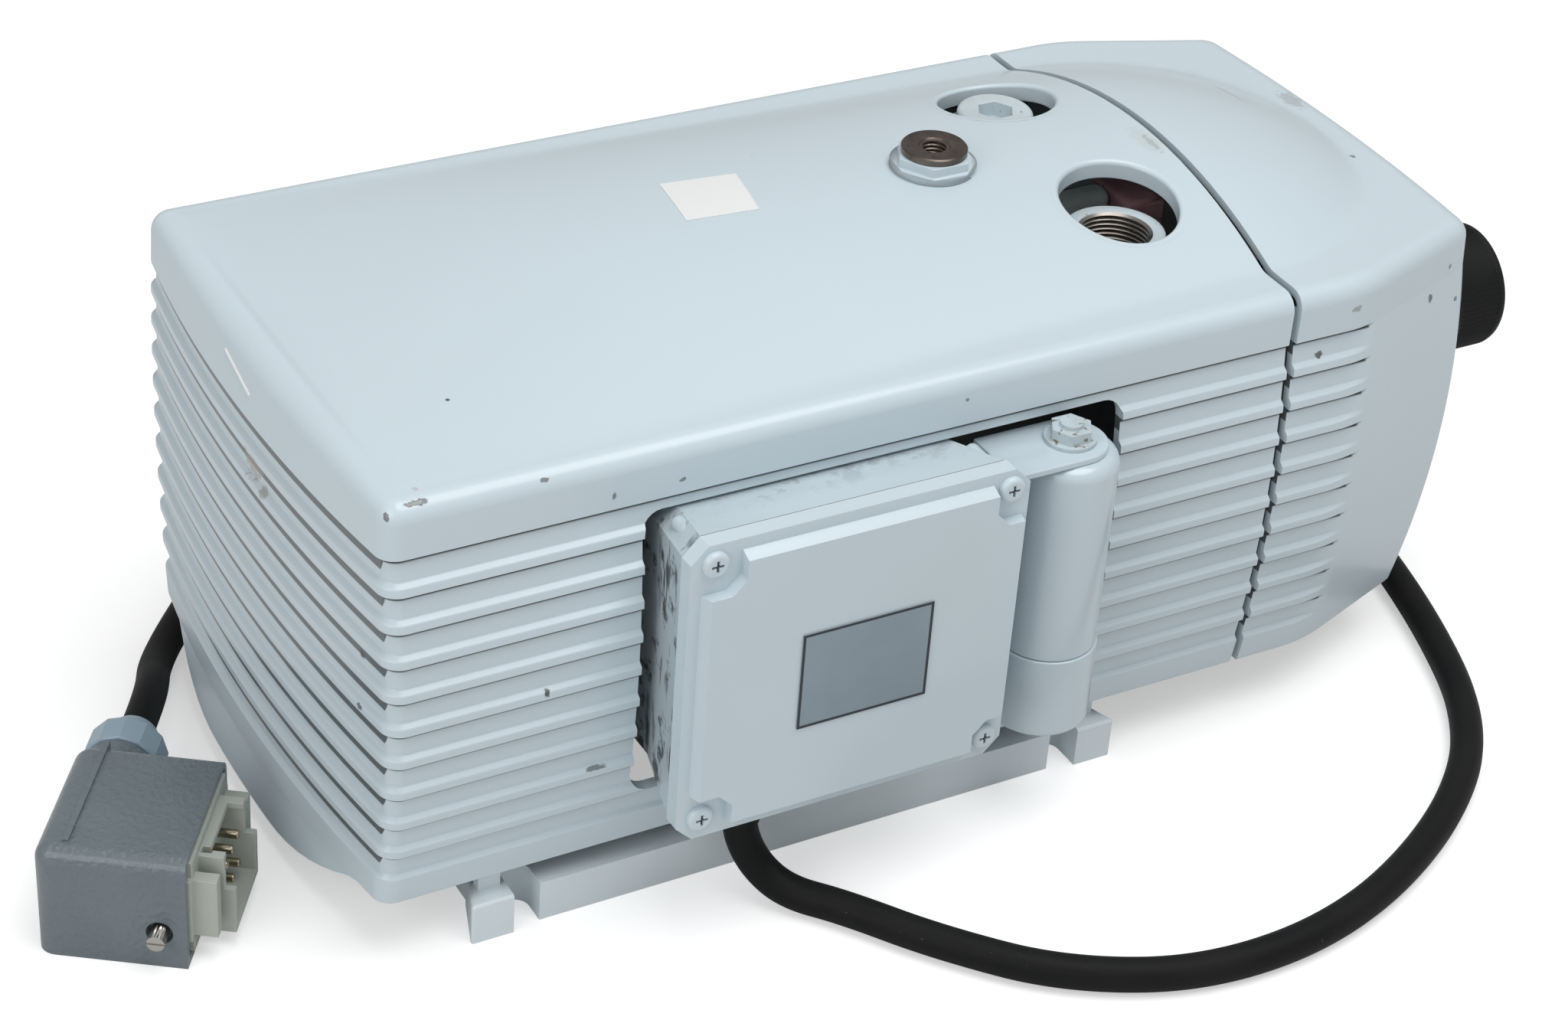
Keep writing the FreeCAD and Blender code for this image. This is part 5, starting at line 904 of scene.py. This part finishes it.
# Round posts fill the screw holes, so that these don't show at the box's chamfered corners.
for x in (-60.3, 47.4):
    for z in (54.3, 153.7):
        post = bar("box_screw_post", 2.7, (x, -123.5, z), (x, -105.5, z), 48)
        round_edges(post, 2.2, 5, lambda a, b: min(a.y, b.y) > -106 * MM)
        smooth(post, 50)
        settle(post, "frame", "paint", box_paint)
recast("terminal_lid", "terminal_box_lid", lid_paint, 1.4, 4, 25)
recast("lid_screws", "terminal_box_screws", lid_paint, 0.25)
wear(frame["nodes"]["lid_gasket"], seal_strip)
low, high = [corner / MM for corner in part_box("lid_screws")]
# Painted shade: near-black discs sit in the recesses of the four lid screws, where shade falls.
recess_shade = finish("recess_shade", (0.05, 0.05, 0.048), (0.02, 0.02, 0.02), (0.5, 0.7),
                     cloud=(300.0, 0.12))
head_radius = 4.6
fills = [bar("screw_recess_shade", 2.3, (x, low[1] + 0.8, z), (x, low[1] + 1.2, z), 24)
         for x in (low[0] + head_radius, high[0] - head_radius)
         for z in (low[2] + head_radius, high[2] - head_radius)]
settle(joined(fills), "frame", "steel", recess_shade)
plate_metal = finish("plate_metal", (0.29, 0.36, 0.41), (0.2, 0.23, 0.25), (0.30, 0.42), metallic=0.55,
                     cloud=(40.0, 0.2), grain=(1100.0, 0.06))
recast("rating_plate", "bare_rating_plate", plate_metal, 0.15)

# The dark printed line round the plate, as a flat ring of four strips.
plate_left = -28.9
plate_right = 19.3
plate_middle_x = (plate_left + plate_right) / 2
line_width = 0.9
plate_frame = block("plate_border", (plate_left, -136.6, 83.3), (plate_right, -136.45, 120.3))
pick(plate_frame, "FACE", lambda face: abs(face.normal.y) > 0.9)
bpy.ops.mesh.inset(thickness=line_width * MM, depth=0.0)
bpy.ops.mesh.delete(type="FACE")
bpy.ops.mesh.select_all(action="DESELECT")
quiet()
inner_half = plate_right - plate_middle_x - line_width / 2
pick(plate_frame, "EDGE", lambda a, b: max(abs(end.x / MM - plate_middle_x) for end in (a, b)) < inner_half)
bpy.ops.mesh.bridge_edge_loops()
quiet()
plate_line = finish("plate_line", (0.02, 0.025, 0.03), (0.1, 0.1, 0.1), (0.35, 0.5), cloud=(60.0, 0.12))
settle(plate_frame, "frame", "aluminium", plate_line)

# Cable gland and blanking plug
# Plastic gland with a knurled cap nut under the terminal box, and the plug that closes the second entry.


def turned(name, x, y, profile, sides=96):
    """A turned part: a profile of (radius, z) in millimetres spun round an upright axis."""
    quiet()
    bpy.ops.mesh.primitive_circle_add(vertices=sides, radius=profile[0][0] * MM,
                                      location=(x * MM, y * MM, profile[0][1] * MM))
    piece = bpy.context.object
    piece.name = name
    bpy.ops.object.mode_set(mode="EDIT")
    bpy.ops.mesh.select_all(action="SELECT")
    radius, z = profile[0]
    for next_radius, next_z in profile[1:]:
        bpy.ops.mesh.extrude_edges_move(TRANSFORM_OT_translate={"value": (0, 0, (next_z - z) * MM)})
        factor = next_radius / radius
        bpy.ops.transform.resize(value=(factor, factor, 1), center_override=(x * MM, y * MM, next_z * MM))
        radius, z = next_radius, next_z
    bpy.ops.mesh.select_all(action="SELECT")
    bpy.ops.mesh.remove_doubles(threshold=0.002 * MM)
    bpy.ops.mesh.normals_make_consistent(inside=False)
    apply_place(piece)
    smooth(piece, 32)
    return piece


entry_plastic = finish("entry_plastic", (0.27, 0.285, 0.28), (0.12, 0.12, 0.11), (0.22, 0.36),
                       cloud=(60.0, 0.3), coat_weight=0.4)


def groove_knurls(piece, x, y, z, low_z, high_z, least, sides, depth):
    """Draws every second point of a turned rim inwards: those between two heights that stand further than a
    radius from the upright axis."""
    axis = Vector((x, y))

    def on_groove(corner):
        offset = corner.xy / MM - axis
        turn = round(math.atan2(offset.y, offset.x) / (2 * math.pi / sides))
        return offset.length > least and low_z < corner.z / MM < high_z and turn % 2 == 0

    pick(piece, "VERT", on_groove)
    bpy.ops.transform.resize(value=(depth, depth, 1), center_override=(x * MM, y * MM, z * MM))
    quiet()


nut_radius = 11.3
nut_sides = 120
for x, name, node, hole, low_z in (
    (gland_x, "cord_gland", "cable_gland", 5.9, 37.2),
    (blank_x, "entry_plug", "blanking_plug", 0.3, 38.4),
):
    nut = turned(name, x, gland_y, [
        (hole, low_z), (8.6, low_z), (9.8, low_z + 0.4), (11.0, low_z + 2.0), (nut_radius, low_z + 2.4),
        (nut_radius, low_z + 5.0), (nut_radius, 45.2), (nut_radius, 45.8), (10.9, 46.3), (8.0, 46.3),
        (8.0, 53.0), (5.9, 53.0)], nut_sides)
    groove_knurls(nut, x, gland_y, 42, 0, 60, nut_radius - 0.05, nut_sides, 0.955)
    smooth(nut, 24)
    settle(nut, "frame", "grey_plastic", entry_plastic, node)
cord_seal = turned("cord_seal", gland_x, gland_y, [
    (5.6, 31.0), (6.6, 31.2), (6.9, 34.0), (7.6, 38.5), (5.6, 38.5)], 48)
settle(cord_seal, "frame", "rubber", cable_rubber)

# Run capacitor
# Aluminium can and cup, painted with the rest, clamped head-down by a stud, washer and nut to a flat
# arm from the terminal box. A fine dark line marks where can and cup meet.
can_paint = finish("can_paint", (0.57, 0.67, 0.725), (0.42, 0.46, 0.48), (0.18, 0.27), cloud=(10.0, 0.10),
                   grain=(300.0, 0.12), specks=(230.0, 0.82), coat_weight=0.45)
can_x = 84
can_y = -110.5
can = bar("capacitor_tube", 17.5, (can_x, can_y, 72.4), (can_x, can_y, 148.6), 128)
round_edges(can, 5.0, 6, lambda a, b: min(a.z, b.z) > 148.5 * MM)
round_edges(can, 0.5, 3, lambda a, b: max(a.z, b.z) < 72.5 * MM)
smooth(can, 50)
settle(can, "frame", "paint", can_paint, "capacitor_can")
cup = bar("capacitor_cap", 18.2, (can_x, can_y, 40.5), (can_x, can_y, 72.2), 128)
round_edges(cup, 2.2, 5, lambda a, b: max(a.z, b.z) < 41 * MM)
round_edges(cup, 0.6, 3, lambda a, b: min(a.z, b.z) > 72 * MM)
smooth(cup, 50)
settle(cup, "frame", "paint", can_paint, "capacitor_cup")
recast("capacitor_bracket", "capacitor_arm", can_paint, 0.5, 3)
chipped_paint = finish("chipped_paint", (0.58, 0.68, 0.73), (0.22, 0.2, 0.17), (0.3, 0.5),
                       cloud=(120.0, 0.4), grain=(500.0, 0.3), specks=(420.0, 0.62))
recast("capacitor_nut", "capacitor_top_nut", chipped_paint, 0.35)

# Ports and lifting stud
# Painted port pieces with a bare threaded bore, a painted screw plug with a hexagon socket in the second
# port, and the stud of bare turned steel that takes a ring bolt, held by a flanged nut.


def thread_profile(core, crest, top, bottom, pitch):
    """Zigzag of an internal thread, from its top to its bottom."""
    profile = []
    z = top
    while z > bottom:
        profile += [(core, z), (core, z - 0.15 * pitch), (crest, z - 0.5 * pitch), (crest, z - 0.6 * pitch)]
        z -= pitch
    return profile


port_paint = finish("port_paint", (0.57, 0.66, 0.70), (0.28, 0.26, 0.22), (0.32, 0.5), cloud=(60.0, 0.3),
                    grain=(420.0, 0.25), specks=(300.0, 0.7))
thread_steel = finish("thread_steel", (0.36, 0.35, 0.33), (0.22, 0.15, 0.10), (0.22, 0.4), metallic=1.0,
                      cloud=(90.0, 0.45))
port_ring = turned("suction_port_ring", port_x, -port_y, [
    (9.0, 164.0), (18.0, 164.0), (18.0, 180.6), (17.6, 181.4), (16.8, 181.8), (14.6, 181.8), (13.2, 181.2)])
settle(port_ring, "frame", "steel", port_paint)
port_core = 12.05
port_pitch = 1.81
port_bore = turned("suction_port_thread", port_x, -port_y, [(13.25, 181.25)] + thread_profile(
    port_core, 13.1, 180.6, 168.4, port_pitch) + [(port_core, 167.6), (9.0, 167.6), (9.0, 164.0)])
settle(port_bore, "frame", "steel", thread_steel, "suction_flange")
wear(frame["nodes"]["outlet_flange"], port_paint)
recast("closing_plug", "outlet_screw_plug", port_paint, 0.5, 3)
stud_steel = finish("stud_steel", (0.24, 0.195, 0.165), (0.05, 0.045, 0.04), (0.24, 0.42), metallic=1.0,
                    cloud=(70.0, 0.85), grain=(1800.0, 0.15), specks=(600.0, 0.66))
stud_core = 4.25
stud_pitch = 1.5
stud = turned("turned_lifting_stud", stud_x, 0, [
    (8.0, 192.0), (8.0, 202.4), (11.2, 202.4), (11.7, 202.8), (11.7, 204.5), (11.2, 205.0), (5.7, 205.0),
    (5.2, 204.4)] + thread_profile(stud_core, 4.95, 204.2, 191.2, stud_pitch) + [
    (stud_core, 190.2), (0.4, 190.0)])
settle(stud, "frame", "steel", stud_steel, "lifting_stud")
stud_nut = recast("stud_nut", "painted_stud_nut", hood_paint, 0.5, 3)
pick(stud_nut, "VERT", lambda corner: corner.z < 198.5 * MM)
bpy.ops.transform.translate(value=(0, 0, 1.3 * MM))
quiet()
flange_share = 0.91
stud_axis = Vector((stud_x, 0.0)) * MM
pick(stud_nut, "VERT", lambda corner: (corner.xy - stud_axis).length > 15.4 * MM)
bpy.ops.transform.resize(value=(flange_share, flange_share, 1), center_override=(stud_x * MM, 0, 195 * MM))
quiet()

# Regulator knob
# Black moulded knob on the spindle of the vacuum regulator: straight knurls round its rim, a smooth
# shoulder at both ends and a slightly sunk face.
knob_black = finish("knob_black", (0.010, 0.0105, 0.011), (0.03, 0.03, 0.028), (0.42, 0.6),
                    cloud=(45.0, 0.3), grain=(1200.0, 0.3))
knob_black.node_tree.nodes["Principled BSDF"].inputs["Specular IOR Level"].default_value = 0.16
knob_x = 282.6
knob_radius = 23.4
knob_sides = 144
knob = turned("knurled_knob", 0, 0, [
    (5.2, 5.0), (19.2, 5.0), (19.4, 0.3), (20.2, 0.0), (22.4, 0.0), (23.1, 0.4)] + [
    (knob_radius, z) for z in (1.2, 2.2, 3.0, 11.0, 19.6, 20.4, 21.4)] + [
    (23.0, 22.6), (22.0, 23.4), (19.6, 23.4), (19.0, 22.7), (8.5, 22.7), (8.0, 23.2),
    (0.2, 23.2)], knob_sides)
groove_knurls(knob, 0, 0, 11.5, 2.8, 19.9, knob_radius - 0.1, knob_sides, 0.968)
knob.rotation_euler = (0, math.pi / 2, 0)
knob.location = Vector((knob_x, knob_y, knob_z)) * MM
apply_place(knob)
smooth(knob, 24)
settle(knob, "regulator_handle", "black_plastic", knob_black, "regulator_knob")

# Inner machine
# Motor, pump, regulator and filter under the covers, seen through the port holes and beside the
# capacitor: raw castings, plated steel, copper windings, carbon vanes.
inner_finishes = {
    "cast_iron": finish("pump_casting", (0.115, 0.115, 0.12), (0.05, 0.04, 0.035), (0.55, 0.75),
                        metallic=0.4, cloud=(30.0, 0.5), grain=(300.0, 0.6)),
    "aluminium": finish("motor_casting", (0.42, 0.43, 0.44), (0.2, 0.19, 0.18), (0.4, 0.55), metallic=0.9,
                        cloud=(30.0, 0.3), grain=(350.0, 0.4)),
    "steel": bare_steel,
    "copper": finish("winding_copper", (0.55, 0.20, 0.09), (0.2, 0.07, 0.03), (0.25, 0.4), metallic=0.9,
                     cloud=(80.0, 0.5), grain=(600.0, 0.5)),
    "brass": pin_brass,
    "black_plastic": knob_black,
    "light_plastic": insert_plastic,
    "carbon": finish("vane_carbon", (0.03, 0.03, 0.032), (0.07, 0.07, 0.07), (0.5, 0.65),
                     cloud=(60.0, 0.12)),
    "filter_fleece": finish("filter_fleece", (0.62, 0.60, 0.54), (0.35, 0.32, 0.27), (0.8, 0.95),
                            cloud=(35.0, 0.4), grain=(420.0, 0.7)),
}
for name, node in frame["nodes"].items():
    if not node.hide_render and node_slot[name] in inner_finishes:
        wear(node, inner_finishes[node_slot[name]])

casting_grey = finish("casting_grey", (0.84, 0.92, 0.91), (0.14, 0.13, 0.12), (0.4, 0.55),
                      cloud=(30.0, 0.25), grain=(300.0, 0.3))
casting_red = finish("casting_red", (0.58, 0.32, 0.36), (0.16, 0.11, 0.11), (0.45, 0.65), cloud=(60.0, 0.5),
                     grain=(260.0, 0.6), specks=(300.0, 0.66))

# A cast rib, rounded all round, and a lug, rounded along its top, show under the suction port.
for name, low, high, radius, segments, above, casting in (
    ("cylinder_rib", (125, -5, 160), (168, 5, 174.5), 4.4, 6, 159, casting_grey),
    ("cover_lug", (169, -14, 157), (184, 10, 173), 2.6, 4, 158, casting_red),
):
    piece = block(name, low, high)
    round_edges(piece, radius, segments, lambda a, b: min(a.z, b.z) > above * MM)
    smooth(piece, 50)
    settle(piece, "frame", "cast_iron", casting)

# Floor and lights
# A plain pale studio floor, one broad soft lamp above the front and a weaker one at the left.
quiet()
bpy.ops.mesh.primitive_plane_add(size=14.0, location=(0, 0, 0))
floor = bpy.context.object
floor.name = "studio_floor"
floor_tone = 0.76
floor_glow = 0.45
floor_material = bpy.data.materials.new("studio_floor")
floor_material.use_nodes = True
floor_tree = floor_material.node_tree
floor_shader = floor_tree.nodes["Principled BSDF"].inputs
floor_shader["Base Color"].default_value = (floor_tone, floor_tone, floor_tone, 1)
floor_shader["Roughness"].default_value = 0.8
floor_seen = floor_tree.nodes.new("ShaderNodeLightPath").outputs["Is Camera Ray"]
floor_share = maths(floor_tree, "MULTIPLY", floor_seen, floor_glow)
link(floor_tree, blend_colour(floor_tree, floor_share, (0.0, 0.0, 0.0), (1.0, 1.0, 1.0)),
     floor_shader["Emission Color"])
floor_shader["Emission Strength"].default_value = 1.0
wear(floor, floor_material)


def lamp(name, place, aim, size, power):
    light = bpy.data.lights.new(name, "AREA")
    light.shape = "DISK"
    light.size = size
    light.energy = power
    holder = bpy.data.objects.new(name, light)
    bpy.context.scene.collection.objects.link(holder)
    holder.location = place
    holder.rotation_euler = (Vector(aim) - Vector(place)).to_track_quat("-Z", "Y").to_euler()


lamp("top_lamp", (0.28, -0.45, 1.85), (0.05, 0.0, 0.1), 1.6, 20.5)
lamp("left_lamp", (-1.5, -0.7, 1.1), (-0.1, 0.0, 0.1), 1.2, 9)
world = bpy.data.worlds.new("studio_world")
bpy.context.scene.world = world
world.use_nodes = True
sky_light = 0.4
sky_tree = world.node_tree
sky = sky_tree.nodes["Background"].inputs
sky_seen = sky_tree.nodes.new("ShaderNodeLightPath").outputs["Is Camera Ray"]
sky_more = maths(sky_tree, "MULTIPLY", sky_seen, 1 - sky_light)
link(sky_tree, maths(sky_tree, "ADD", sky_more, sky_light), sky["Strength"])
sky["Color"].default_value = (1.0, 1.0, 1.0, 1.0)
bpy.context.scene.view_settings.view_transform = "Standard"

quiet()
